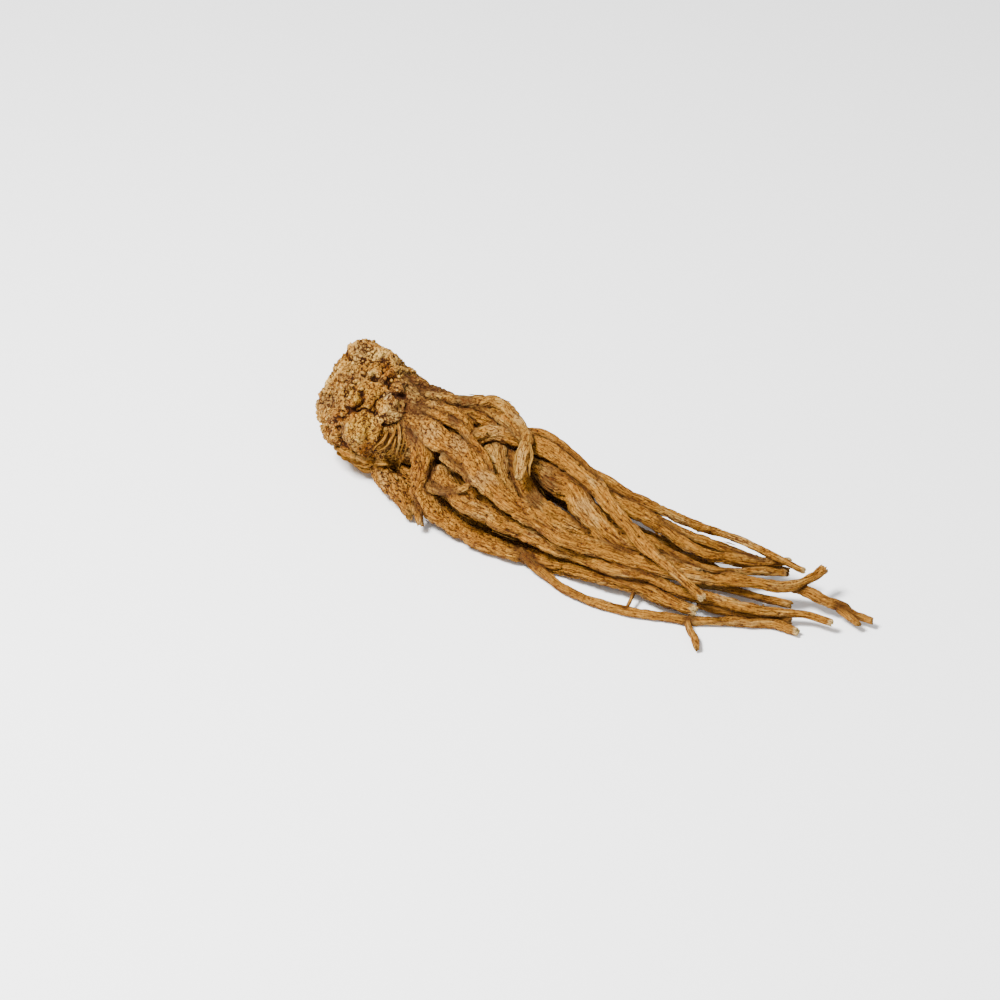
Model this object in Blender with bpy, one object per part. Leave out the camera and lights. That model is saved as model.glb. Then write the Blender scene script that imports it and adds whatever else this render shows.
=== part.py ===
"""A dried angelica root, laid on a flat surface: one grown piece.

A knobbly crown at -X narrows to a short neck, and the neck divides into a bundle of tapering
rootlets that cross one another and run out along the surface to +X. Everything is fused into
one solid. Units are metres, +Z is up, and the origin is on the surface, under the middle.
Routes and the crown are given in millimetres from a point on the surface below the crown's
end, and are moved by ORIGIN when they are placed.
"""

import math

import bmesh
import bpy
from mathutils import Vector, noise

MM = 0.001
ORIGIN = Vector((104.7, -7.8, 0.0))  # the middle of the whole root, on the surface

# The crown, in millimetres: a rounded lump that rests on the surface.
CROWN_CENTRE = Vector((17.0, 0.0, 20.0))
CROWN_RADIUS = 19.3
CROWN_SEGMENTS = 42
CROWN_RINGS = 26
CROWN_GRAIN = 1.5  # how far the crumbly relief stands out
CROWN_GRAIN_SIZE = 6.0
SHEATH_RIDGE = 0.8  # the layered leaf bases that ring the crown towards the neck
SHEATH_PITCH = 5.2
SCAR_RING = 0.9  # the rings of leaf scars round the growing tip, on the crown's far end
SCAR_RING_PITCH = 15.0  # in degrees
SCAR_RING_REACH = 46.0

# Knobs on the crown: direction from its centre, spread in degrees, height in millimetres.
CROWN_KNOBS = (
    ((20.0, -2.0, 2.0), 50, 13.0),
    ((-11.0, 7.5, 19.5), 24, 6.2),
    ((-2.0, 12.0, 19.0), 18, 2.4),
    ((7.0, -17.7, 4.7), 26, 3.4),
    ((0.9, -14.7, 13.1), 14, 2.0),
    ((11.8, -7.4, 14.2), 17, 2.0),
    ((-16.0, -7.0, 0.0), 20, 2.2),
    ((-19.0, 3.0, 3.0), 24, 1.2),
    ((-12.0, -8.0, -14.0), 22, 1.5),
    ((6.0, -9.0, -17.0), 24, 1.6),
    ((4.0, 18.0, 8.0), 24, 1.8),
    ((-8.0, 17.0, -2.0), 20, 1.6),
    ((2.0, 12.0, -14.0), 22, 1.4),
    ((-14.8, 0.5, 12.0), 18, 1.8),
    ((-12.5, -13.0, -6.0), 18, 1.2),
    ((1.0, 2.0, -20.0), 30, 1.9),
)
# Hollows between the knobs, given the same way.
CROWN_HOLLOWS = (
    ((16.0, 4.0, 16.0), 24, 4.5),
    ((8.0, 13.5, 13.0), 22, 2.8),
    ((-14.0, -12.0, 12.0), 12, 1.8),
    ((-8.0, -14.0, -9.0), 12, 1.2),
    ((-17.0, 8.0, -8.0), 16, 1.6),
    ((-3.0, 20.0, 4.0), 12, 1.4),
)

# The neck and the rootlets: name, thickness from root to tip, and route, in millimetres.
NECK = (
    "neck",
    (30, 29, 27, 23, 18, 12, 6),
    ((14, 0, 20), (26, -1, 21), (38, -2, 22), (50, -3, 22), (60, -4, 21), (70, -5, 20),
     (80, -6, 18)),
)
ROOTLETS = (
    (
        "front_low",
        (10.6, 10.2, 9.2, 8.2, 7.6, 7.2, 6.8, 6.4, 5.8, 4.4),
        ((36, -8, 24), (49, -17, 23), (51, -20, 18), (52, -23, 12), (57, -25, 7.8), (66, -26, 5),
         (76, -27, 3.8), (87, -27, 3.5), (98, -26, 3.4), (109, -24.5, 3.8), (125, -24, 5),
         (141, -23, 5.4), (154, -23.5, 5), (162, -23, 4.4)),
    ),
    (
        "front_second",
        (7.0, 8.6, 8.0, 7.0, 6.2, 5.6, 5.2, 5.2, 4.6, 3.6, 2.6),
        ((46, -10, 17), (60, -22, 19), (72, -29, 19.6), (80, -29, 17.6), (90, -28, 15),
         (99, -25.5, 12.8), (110, -25.5, 11.8), (121, -24.5, 10.8), (133, -23, 10),
         (144, -20.5, 9), (155, -20.5, 8), (164, -17, 7), (175, -14, 6), (184, -9.5, 5),
         (193, -5, 4.5), (203, -3.5, 4)),
    ),
    (
        "front_main",
        (10.0, 10.4, 9.4, 8.2, 7.2, 6.2, 5.4, 4.8, 4.2, 3.6),
        ((32, -5.5, 27), (43, -10.5, 30), (55, -16, 30.5), (65, -18.5, 30), (74, -22.5, 29),
         (82, -25.5, 27), (91, -27, 24), (102, -27.5, 21), (115, -27, 18), (125, -23.5, 16),
         (135, -20.5, 14), (147, -18.5, 13), (163, -13.5, 12), (175, -6, 11), (183, -1.5, 10),
         (187.5, 5, 10), (190.5, 14, 11)),
    ),
    (
        "main_rider",
        (4.0, 4.4, 4.0, 3.6, 3.0),
        ((34, -6, 29), (43, -8, 33.5), (53, -10.5, 35.5), (63, -12.5, 34.5), (69, -15, 33),
         (75, -17.5, 31), (80, -22, 28)),
    ),
    (
        "flat_wedge",
        (9.0, 10.0, 8.2, 5.4, 3.2),
        ((66, -4, 24), (73, -7.5, 27.5), (78, -13, 26.5), (82, -17.5, 24.5), (88, -21, 22),
         (95, -25, 20)),
    ),
    (
        "long_diagonal",
        (6.0, 6.2, 6.8, 6.9, 6.9, 6.4, 5.8, 5.2, 4.6, 3.9),
        ((58, -13, 23), (62, -11.5, 28), (65, -9, 31.5), (70, -6.5, 33.5), (77, -5.5, 34),
         (88, -5, 34), (97, -6, 33), (107, -8, 31), (114, -9.5, 29), (121, -12.5, 27),
         (130, -16, 24), (138, -18.5, 21), (147, -21, 19), (157, -23.5, 16), (166, -25, 13)),
    ),
    (
        "torn_arch",
        (4.8, 4.8, 5.0, 4.8, 4.6, 4.2, 4.6, 4.8, 3.4),
        ((34, 2, 31), (45.5, -0.5, 36), (56, 0, 37.6), (61, 1, 38.8), (66, 2, 39.7),
         (71, 1, 39.7), (77, -2, 39.4), (82, -5, 38.6), (86.5, -9, 37.8), (88, -14, 36),
         (89.5, -18, 33), (90, -21, 30)),
    ),
    (
        "arch_twin",
        (3.2, 3.0, 2.8, 2.6),
        ((50, -1, 34), (59.5, 0, 37), (68.5, -2, 37), (75, -4, 37), (81, -7, 37), (86, -9.5, 36)),
    ),
    (
        "arch_flank",
        (8.0, 8.4, 8.0, 6.4, 5.0),
        ((42, 0, 28), (54, -1, 32), (65, -1.5, 33), (75, -2, 32), (84, -2, 31), (94, -3, 29)),
    ),
    (
        "neck_lump",
        (8.4, 9.4, 8.8, 5.6),
        ((38, -4, 29), (47, -5, 33), (55, -7, 34), (62, -9, 32), (66, -10, 28)),
    ),
    (
        "broad_middle",
        (9.0, 9.0, 8.4, 7.4, 6.4, 5.4, 4.2),
        ((66, -4, 22), (80, -9.5, 26), (87, -13.5, 24), (94, -17, 21), (101, -18, 19),
         (109, -17.5, 17), (118, -16, 14), (130, -15, 11)),
    ),
    (
        "fat_club",
        (6.0, 8.4, 9.8, 10.2, 9.6, 8.2, 6.6, 5.4, 4.2),
        ((74, -3, 24), (90, -8, 27), (98, -10, 26.5), (104, -10, 26), (113, -14.5, 22),
         (121, -17.5, 19), (130, -18, 16), (136, -15, 14), (146, -12, 12), (156, -11, 11)),
    ),
    (
        "thin_upper",
        (3.0, 3.2, 3.2, 2.8, 2.4),
        ((75, -2, 33), (82, -1.5, 36), (88, -1, 36.5), (100, -3.5, 35), (107, -5, 33),
         (115, -7, 30)),
    ),
    (
        "upper_branch",
        (4.8, 5.8, 5.8, 5.2, 4.8, 4.2, 3.4),
        ((96, -2, 26), (109, -5, 26), (120, -6.5, 24), (128, -5.5, 22), (137, -4.5, 19),
         (145, -5, 16), (153, -4.5, 14), (162, 1, 12), (170, 7.5, 10), (178, 12.5, 10)),
    ),
    (
        "upper_outer",
        (4.4, 5.0, 4.8, 4.0, 3.4, 3.0, 2.4),
        ((88, 2, 27), (100, -1, 28), (111, -2.5, 28), (124, -2.5, 25), (131, -1, 23),
         (141, 1.5, 20), (148, 4, 18), (159, 8, 15), (171, 9, 13), (184.5, 10.5, 10)),
    ),
    (
        "upper_link",
        (3.8, 4.4, 3.6, 2.6),
        ((120, -5, 20), (134, -4, 19.5), (142, -2, 17.5), (150, 0.5, 15.5), (163, 5, 12),
         (170, 7.5, 10.5)),
    ),
    (
        "middle_long",
        (4.2, 4.2, 3.8, 3.4, 3.0, 2.8),
        ((122, -14, 17), (138, -11.5, 17), (145, -10.5, 14), (152, -9.5, 12), (159, -7.5, 11),
         (166, 0, 9), (178, 10, 7)),
    ),
    (
        "dark_under",
        (4.4, 4.0, 3.4, 3.0),
        ((135, -12, 9), (152, -12, 8), (170, -8.5, 7), (180, -4, 5), (187, -2.5, 5)),
    ),
    (
        "floor_long",
        (4.6, 4.2, 3.9, 3.8, 3.7, 3.8, 3.6),
        ((94, -26, 5), (106, -30, 2.6), (116, -33, 1.8), (123, -33.4, 1.7), (131, -33, 1.7),
         (139, -32, 1.7), (149, -29, 1.8), (160, -25, 1.8), (168, -20.5, 1.8), (177, -16, 1.8),
         (186, -11, 1.8), (194.5, -10.5, 1.8)),
    ),
    (
        "floor_twin",
        (2.8, 3.6, 3.6, 3.2),
        ((160, -19, 4), (174.5, -13.5, 2.6), (184, -9, 2.4), (190, -7, 2.2)),
    ),
    (
        "floor_twig",
        (3.0, 3.0, 3.0, 2.4),
        ((160, -24, 2.4), (162, -27.5, 1.8), (167, -32, 1.5), (171, -37, 1.5)),
    ),
    ("floor_link", (1.6, 1.4, 1.6), ((138.5, -24, 4.6), (139.5, -28, 3.4), (140, -32, 2.2))),
    (
        "forked_tip",
        (3.8, 4.2, 3.8, 3.6, 4.8, 3.8),
        ((150, -9, 9), (168, -4, 9), (180, 1, 8), (188, 4, 7), (195, 4.5, 6), (200, 5.5, 5),
         (204, 6.5, 4)),
    ),
    ("fork_left", (3.2, 3.0, 2.6), ((201, 5, 4.6), (206, 3.5, 3.6), (210.5, 2, 3))),
    ("fork_right", (3.2, 3.0, 2.6), ((203, 6, 4.4), (208, 6, 3.4), (213.5, 6.5, 3))),
    (
        "curl",
        (4.6, 4.0, 3.6, 3.4, 3.2, 3.4, 3.8, 4.0),
        ((54, -22, 14), (61.5, -26.5, 18), (67, -29, 21), (72, -29.5, 23.5), (74.5, -27, 26),
         (72, -25.5, 28), (66, -24, 28.5), (59, -21, 28)),
    ),
    (
        "neck_shoulder",
        (10.4, 9.8, 8.4, 6.8, 4.6),
        ((22, 3, 30.5), (31, 5.5, 30.5), (38, 5.5, 29.5), (46, 4, 31), (54, 2, 33.5)),
    ),
    (
        "crown_stub",
        (6.6, 7.6, 8.2, 7.8, 6.0),
        ((22, -8, 8), (30, -15, 6), (38, -19, 5.6), (44, -22, 5), (50, -26.5, 3.6)),
    ),
    (
        "low_flap",
        (6.2, 5.4, 3.6, 2.0),
        ((52, -22.5, 12), (53, -25.5, 8.5), (54.5, -28.5, 6), (56.5, -31, 4)),
    ),
    # Under the front rootlets, in their shade.
    (
        "shade_front",
        (7.0, 7.4, 6.6, 5.8, 5.0, 4.0),
        ((40, -8, 16), (56, -17, 14), (68, -22, 12.5), (80, -22, 11), (94, -20, 9),
         (110, -17, 7), (128, -17, 6)),
    ),
    (
        "shade_middle",
        (6.4, 6.0, 5.4, 4.8),
        ((50, -8, 17), (60, -15, 18), (70, -20, 18), (84, -22, 16), (98, -21, 13)),
    ),
    (
        "under_front",
        (8.0, 7.6, 6.8, 6.0, 5.2, 4.2),
        ((26, -4, 8), (36, -10, 6.4), (48, -13.5, 6), (64, -17, 4.8), (88, -18, 3.6),
         (110, -16, 3.6), (132, -14, 3.4), (154, -15, 3)),
    ),
    # The far side and the underside.
    (
        "back_upper",
        (7.0, 7.4, 6.8, 6.0, 5.0, 4.0, 3.0),
        ((26, 4, 27), (40, 6, 30.5), (55, 9.5, 27), (75, 12, 20.5), (95, 9, 18.5),
         (115, 6, 15.5), (135, 7, 10.5), (155, 11, 7), (171, 13, 5)),
    ),
    (
        "back_side",
        (7.6, 8.0, 7.0, 5.8, 4.6, 3.8, 3.0),
        ((26, 9, 21), (40, 13, 20), (55, 16, 17), (80, 18, 12), (105, 15, 7.5), (130, 14, 4),
         (155, 15.5, 2.2), (171, 17, 1.4)),
    ),
    (
        "back_low",
        (8.0, 7.6, 6.8, 5.8, 4.6, 3.6, 2.8),
        ((26, 7, 12), (38, 11, 10.5), (52, 13, 7), (75, 12, 4), (100, 9, 2.6), (125, 8.5, 2.2),
         (150, 6, 2), (166, 2, 2)),
    ),
    (
        "under_middle",
        (8.4, 7.6, 6.6, 5.6, 4.6, 3.6, 3.0),
        ((28, 0, 9), (42, 1, 9), (58, 2, 7.5), (82, -2, 5.5), (108, -4, 5), (132, -5.5, 5),
         (156, -6, 5), (174, -4, 4)),
    ),
    (
        "inner_long",
        (8.0, 7.0, 6.0, 5.0, 4.2, 3.4),
        ((45, 3, 22), (70, 5, 18), (95, 1, 14), (118, -3, 12), (140, 0, 10), (160, 5, 8),
         (178, 12, 6)),
    ),
    (
        "back_cross",
        (4.4, 4.4, 3.8, 3.4, 2.8),
        ((40, 10, 24), (52, 15.5, 24), (66, 19, 19), (80, 20, 12), (92, 17.5, 6.5), (106, 19, 3),
         (122, 20.5, 1.6)),
    ),
)

FINE_STEP = 1.5  # how closely a route is followed before its rings are chosen
LONGEST_STEP = 8.0  # the most that two rings of a tube are apart
MOST_TURN = 10.0  # degrees that a route turns before the next ring
KNOT_SIZE = 9.0
KNOT_SHARE = 0.12  # how far knots and pinches change a rootlet's thickness
DENT_SIZE = 3.2
DENT_SHARE = 0.11  # how far its surface leaves a round section, as a share of its radius
FINE_BELOW = 3.5  # rootlets thinner than this have six sides, and the others eight
SHORTEST_EDGE = 0.01  # corners of the fused skin that are closer than this become one

SURFACE_BLOCK = (360.0, 160.0, 40.0)  # what is cut away below the surface


def make_material():
    material = bpy.data.materials.new("dried_root")
    material.use_nodes = True
    shader = material.node_tree.nodes["Principled BSDF"]
    shader.inputs["Base Color"].default_value = (0.36, 0.19, 0.055, 1.0)
    shader.inputs["Roughness"].default_value = 0.85
    shader.inputs["Metallic"].default_value = 0.0
    return material


def swell(direction, centre, spread):
    """One at the middle of a knob, falling to nothing at its spread."""
    angle = math.degrees(direction.angle(Vector(centre)))
    return math.exp(-2.0 * (angle / spread) ** 2)


def crown_reach(direction):
    """How far the crown's surface is from its centre in a direction, in millimetres."""
    reach = CROWN_RADIUS
    for centre, spread, height in CROWN_KNOBS:
        reach += height * swell(direction, centre, spread)
    for centre, spread, depth in CROWN_HOLLOWS:
        reach -= depth * swell(direction, centre, spread)
    along = direction.x * CROWN_RADIUS
    towards_neck = max(0.0, min(1.0, (along + 4.0) / 14.0))
    reach += SHEATH_RIDGE * towards_neck * math.sin(math.tau * along / SHEATH_PITCH)
    from_tip = math.degrees(direction.angle(Vector((-1.0, 0.0, 0.0))))
    fade = max(0.0, 1.0 - from_tip / SCAR_RING_REACH)
    reach += SCAR_RING * fade * math.sin(math.tau * from_tip / SCAR_RING_PITCH)
    place = direction * (CROWN_RADIUS / CROWN_GRAIN_SIZE)
    return reach + CROWN_GRAIN * (noise.noise(place) + 0.5 * noise.noise(place * 2.1))


def make_crown():
    mesh = bpy.data.meshes.new("crown")
    shape = bmesh.new()
    bmesh.ops.create_uvsphere(
        shape, u_segments=CROWN_SEGMENTS, v_segments=CROWN_RINGS, radius=1.0
    )
    for vert in shape.verts:
        direction = Vector((vert.co.z, vert.co.x, vert.co.y)).normalized()
        vert.co = (CROWN_CENTRE + direction * crown_reach(direction)) * MM
    shape.to_mesh(mesh)
    shape.free()
    return bpy.data.objects.new("crown", mesh)


def follow_route(points):
    """Points close together on a smooth curve through the route, with their share of its length."""
    points = [Vector(point) for point in points]
    spans = [(b - a).length for a, b in zip(points, points[1:])]
    ways = [(b - a) / span for a, b, span in zip(points, points[1:], spans)]
    slopes = [ways[0]]
    for before, after, span, next_span in zip(ways, ways[1:], spans, spans[1:]):
        slopes.append((before * next_span + after * span) / (span + next_span))
    slopes.append(ways[-1])
    total = sum(spans)
    placed = []
    done = 0.0
    for i, span in enumerate(spans):
        count = max(2, round(span / FINE_STEP))
        for n in range(count + (i == len(spans) - 1)):
            u = n / count
            place = (
                points[i] * (2 * u**3 - 3 * u**2 + 1)
                + slopes[i] * span * (u**3 - 2 * u**2 + u)
                + points[i + 1] * (3 * u**2 - 2 * u**3)
                + slopes[i + 1] * span * (u**3 - u**2)
            )
            placed.append((place, (done + span * u) / total))
        done += span
    return placed


def choose_rings(placed):
    """The points where a tube needs a ring: often where it bends, seldom where it is straight."""
    chosen = [placed[0]]
    way = (placed[1][0] - placed[0][0]).normalized()
    for here, after in zip(placed[1:], placed[2:]):
        gone = (here[0] - chosen[-1][0]).length
        new_way = (after[0] - here[0]).normalized()
        if gone >= LONGEST_STEP or math.degrees(way.angle(new_way)) >= MOST_TURN:
            chosen.append(here)
            way = new_way
    if (placed[-1][0] - chosen[-1][0]).length < FINE_STEP:
        chosen.pop()
    chosen.append(placed[-1])
    return chosen


def thickness_at(thicknesses, share):
    where = share * (len(thicknesses) - 1)
    i = min(int(where), len(thicknesses) - 2)
    return thicknesses[i] + (thicknesses[i + 1] - thicknesses[i]) * (where - i)


def closed_mesh_of(tube):
    """The curve's own mesh, with its end caps welded on and its skin a little dented."""
    evaluated = tube.evaluated_get(bpy.context.evaluated_depsgraph_get())
    mesh = bpy.data.meshes.new_from_object(evaluated)
    shape = bmesh.new()
    shape.from_mesh(mesh)
    bmesh.ops.remove_doubles(shape, verts=shape.verts, dist=0.01 * MM)
    bmesh.ops.recalc_face_normals(shape, faces=shape.faces)
    reach = min(tube.dimensions) / 2.0
    for vert in shape.verts:
        vert.co += vert.normal * reach * DENT_SHARE * noise.noise(vert.co / (DENT_SIZE * MM))
    shape.to_mesh(mesh)
    shape.free()
    solid = bpy.data.objects.new(tube.name + "_solid", mesh)
    solid.matrix_world = tube.matrix_world
    return solid


def make_rootlet(name, thicknesses, route):
    """A tapering tube along the route, as a closed mesh."""
    rings = choose_rings(follow_route(route))
    curve = bpy.data.curves.new(name, "CURVE")
    curve.dimensions = "3D"
    curve.bevel_depth = 0.5 * MM
    curve.bevel_resolution = 1 if max(thicknesses) < FINE_BELOW else 2
    curve.use_fill_caps = True
    spline = curve.splines.new("POLY")
    spline.points.add(len(rings) - 1)
    for point, (place, share) in zip(spline.points, rings):
        point.co = (*(place * MM), 1.0)
        knot = 1.0 + KNOT_SHARE * noise.noise(place / KNOT_SIZE)
        point.radius = thickness_at(thicknesses, share) * knot
    tube = bpy.data.objects.new(name, curve)
    bpy.context.scene.collection.objects.link(tube)
    solid = closed_mesh_of(tube)
    bpy.data.objects.remove(tube)
    return solid


def make_surface_block():
    """Everything below the resting surface, to cut small flat spots on what touches it."""
    mesh = bpy.data.meshes.new("surface_block")
    shape = bmesh.new()
    bmesh.ops.create_cube(shape, size=1.0)
    bmesh.ops.scale(shape, vec=Vector(SURFACE_BLOCK) * MM, verts=shape.verts)
    below = Vector((ORIGIN.x, ORIGIN.y, -SURFACE_BLOCK[2] / 2.0))
    bmesh.ops.translate(shape, vec=below * MM, verts=shape.verts)
    shape.to_mesh(mesh)
    shape.free()
    block = bpy.data.objects.new("surface_block", mesh)
    block.hide_render = True
    block.display_type = "WIRE"
    return block


def connected_skins(shape):
    """The groups of faces that hang together."""
    left = set(shape.faces)
    while left:
        skin = {left.pop()}
        waiting = list(skin)
        while waiting:
            for edge in waiting.pop().edges:
                if len(edge.link_faces) != 2:
                    continue
                for face in edge.link_faces:
                    if face in left:
                        left.remove(face)
                        skin.add(face)
                        waiting.append(face)
        yield skin


def keep_outer_skin(mesh):
    """Fills sealed hollows and drops loose scraps: only the largest closed skin stays."""
    shape = bmesh.new()
    shape.from_mesh(mesh)
    bmesh.ops.remove_doubles(shape, verts=shape.verts, dist=SHORTEST_EDGE * MM)
    bmesh.ops.dissolve_degenerate(shape, edges=shape.edges, dist=SHORTEST_EDGE * MM)
    bmesh.ops.triangulate(shape, faces=shape.faces)
    skins = sorted(connected_skins(shape), key=len)
    for skin in skins[:-1]:
        bmesh.ops.delete(shape, geom=list(skin), context="FACES")
    bmesh.ops.translate(shape, vec=-ORIGIN * MM, verts=shape.verts)
    shape.to_mesh(mesh)
    shape.free()


def fuse(crown, rootlets, cutters):
    """One Boolean union of the crown with its rootlets, then the cut along the surface."""
    for name, operation, others in (("fuse", "UNION", rootlets), ("rest", "DIFFERENCE", cutters)):
        step = crown.modifiers.new(name, "BOOLEAN")
        step.operation = operation
        step.operand_type = "COLLECTION"
        step.collection = others
        step.solver = "MANIFOLD"
    bpy.context.view_layer.update()
    evaluated = crown.evaluated_get(bpy.context.evaluated_depsgraph_get())
    mesh = bpy.data.meshes.new_from_object(evaluated)
    for rootlet in list(rootlets.objects):
        bpy.data.objects.remove(rootlet)
    bpy.data.objects.remove(crown)
    keep_outer_skin(mesh)
    return bpy.data.objects.new("angelica_root", mesh)


def main():
    for old in list(bpy.data.objects):
        bpy.data.objects.remove(old)
    part = bpy.data.collections.new("dried_angelica_root")
    rootlets = bpy.data.collections.new("rootlets")
    cutters = bpy.data.collections.new("cutters")
    for collection in (part, rootlets, cutters):
        bpy.context.scene.collection.children.link(collection)

    crown = make_crown()
    part.objects.link(crown)
    for name, thicknesses, route in (NECK, *ROOTLETS):
        rootlets.objects.link(make_rootlet(name, thicknesses, route))
    cutters.objects.link(make_surface_block())

    root = fuse(crown, rootlets, cutters)
    part.objects.link(root)
    root.data.materials.clear()
    root.data.materials.append(make_material())
    root.data.shade_smooth()
    root.data.set_sharp_from_angle(angle=math.radians(50))


main()
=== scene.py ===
"""The looks of a dried angelica root: wrinkled rootlets, a crumbly crown and its dry fibres.

Routes, the crown and every relief are given in millimetres from a point on the surface below the
crown's end, and are moved by ORIGIN when they are placed. The finished pieces are in metres.
"""

import itertools
import math

import bmesh
import bpy
import numpy as np
from mathutils import Matrix, Vector, noise


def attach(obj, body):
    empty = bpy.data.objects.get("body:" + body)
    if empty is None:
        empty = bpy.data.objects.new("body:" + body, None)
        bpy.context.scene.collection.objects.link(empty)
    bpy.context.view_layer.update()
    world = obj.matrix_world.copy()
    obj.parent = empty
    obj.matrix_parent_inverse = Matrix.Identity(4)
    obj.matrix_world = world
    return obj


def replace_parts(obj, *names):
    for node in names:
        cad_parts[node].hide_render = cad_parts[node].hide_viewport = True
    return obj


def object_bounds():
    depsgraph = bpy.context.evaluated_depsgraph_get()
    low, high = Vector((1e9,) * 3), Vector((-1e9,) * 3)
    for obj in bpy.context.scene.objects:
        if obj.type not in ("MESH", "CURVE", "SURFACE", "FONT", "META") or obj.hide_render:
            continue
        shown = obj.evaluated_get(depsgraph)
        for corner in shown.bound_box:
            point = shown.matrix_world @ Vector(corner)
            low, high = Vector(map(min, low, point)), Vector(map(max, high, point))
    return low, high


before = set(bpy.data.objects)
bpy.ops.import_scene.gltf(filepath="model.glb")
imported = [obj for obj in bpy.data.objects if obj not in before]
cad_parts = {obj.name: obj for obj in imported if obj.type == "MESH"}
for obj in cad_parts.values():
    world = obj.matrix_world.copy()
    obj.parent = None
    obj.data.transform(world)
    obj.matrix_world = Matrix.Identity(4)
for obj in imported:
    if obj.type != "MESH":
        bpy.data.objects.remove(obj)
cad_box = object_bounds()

MM = 0.001
BODY = "root"
NODE = "angelica_root"
ORIGIN = np.array((104.7, -7.8, 0.0))  # the middle of the whole root, on the surface

# The camera, by its angles round the root, what it looks at and how far it is.
CAMERA_AZIMUTH = 33.0
CAMERA_ELEVATION = 35.0
CAMERA_TARGET = (95.0, -39.9, 34.6)
CAMERA_DISTANCE = 1394.0
CAMERA_LENS = 150.0
CAMERA_SENSOR = 36.0
CAMERA_REACH = 20.0  # in metres

# The studio, in metres and watts: each light's name, place, width and power.
LIGHTS = (("key", (-0.25, -0.45, 0.9), 0.28, 42.0), ("fill", (0.7, -0.5, 0.5), 0.8, 5.0))
LIGHT_TARGET = (0.0, 0.0, 0.015)
FLOOR_HALF_WIDTH = 6.0
FLOOR_DROP = 0.0002
FLOOR_TONE = 0.9
SURROUNDING_LIGHT = 0.6

# The crown: a rounded lump that rests on the surface.
CROWN_CENTRE = np.array((17.0, 0.0, 20.0))
CROWN_RADIUS = 19.3
CROWN_SEGMENTS = 380
CROWN_RINGS = 240
CROWN_GRAIN = 1.5  # how far its uneven form stands out
CROWN_GRAIN_SIZE = 6.0
SHEATH_RIDGE = 0.8  # the layered leaf bases that ring the crown towards the neck
SHEATH_PITCH = 5.2
SCAR_RING = 0.9  # the rings of leaf scars round the growing tip, on the crown's far end
SCAR_RING_PITCH = 15.0  # in degrees
SCAR_RING_REACH = 46.0
# Direction from the crown's centre, spread in degrees, height or depth in millimetres.
CROWN_KNOBS = (
    ((20.0, -2.0, 2.0), 50, 13.0),
    ((-11.0, 7.5, 19.5), 24, 6.2),
    ((-2.0, 12.0, 19.0), 18, 2.4),
    ((7.0, -17.7, 4.7), 26, 3.4),
    ((0.9, -14.7, 13.1), 14, 2.0),
    ((11.8, -7.4, 14.2), 17, 2.0),
    ((-16.0, -7.0, 0.0), 20, 2.2),
    ((-19.0, 3.0, 3.0), 24, 1.2),
    ((-12.0, -8.0, -14.0), 22, 1.5),
    ((6.0, -9.0, -17.0), 24, 1.6),
    ((4.0, 18.0, 8.0), 24, 1.8),
    ((-8.0, 17.0, -2.0), 20, 1.6),
    ((2.0, 12.0, -14.0), 22, 1.4),
    ((-14.8, 0.5, 12.0), 18, 1.8),
    ((-12.5, -13.0, -6.0), 18, 1.2),
    ((1.0, 2.0, -20.0), 30, 1.9),
)
CROWN_HOLLOWS = (
    ((16.0, 4.0, 16.0), 24, 4.5),
    ((8.0, 13.5, 13.0), 22, 2.8),
    ((-14.0, -12.0, 12.0), 12, 1.8),
    ((-8.0, -14.0, -9.0), 12, 1.2),
    ((-17.0, 8.0, -8.0), 16, 1.6),
    ((-3.0, 20.0, 4.0), 12, 1.4),
)
# Seen from the camera: right of and above the crown's centre, radius, height or depth.
CROWN_BOSSES = (
    (-4.2, -7.6, 7.4, 2.1),
    (-14.9, -3.2, 3.4, 1.3),
    (-15.4, -10.0, 3.6, 0.9),
    (-7.2, 3.4, 3.2, 1.0),
    (5.6, -0.2, 5.6, 1.1),
    (-6.5, 20.6, 3.6, 0.8),
    (8.4, 7.8, 3.0, 0.5),
    (0.0, 13.6, 3.2, 0.5),
)
CROWN_PITS = (
    (-10.6, -12.0, 1.9, 1.6),
    (0.2, 11.2, 1.5, 1.4),
    (3.1, 18.0, 1.2, 1.3),
    (4.6, 9.6, 1.6, 1.1),
    (-7.6, 10.4, 1.6, 1.0),
    (-16.0, 4.4, 1.6, 0.9),
    (-9.4, -2.6, 1.3, 1.1),
    (9.6, -5.8, 1.8, 1.2),
)
BOSS_FURROW = 1.0  # how deep the crevice round a boss is
BOSS_FURROW_PLACE = 1.07  # where it lies, as a share of the boss's radius
BOSS_FURROW_WIDTH = 0.6
# Kinds of relief on the crown: pitch and depth.
COARSE_CRUMB_PITCH, COARSE_CRUMB_DEPTH = 3.1, 0.35
FINE_CRUMB_PITCH, FINE_CRUMB_DEPTH = 1.3, 0.42
SPECK_PITCH, SPECK_DEPTH = 0.7, 0.3
CROWN_LUMP_PITCH, CROWN_LUMP_DEPTH = 2.0, 0.5
CROWN_CRACK_PITCH, CROWN_CRACK_DEPTH = 1.9, 0.8
# The ridged bark where the crown narrows: pitch along X and across it, and depth.
NECK_RIDGE_PITCH, NECK_RIDGE_DEPTH = np.array((7.0, 1.5, 1.5)), 0.8
SMALL_RIDGE_PITCH, SMALL_RIDGE_DEPTH = np.array((3.0, 0.9, 0.9)), 0.35

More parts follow.
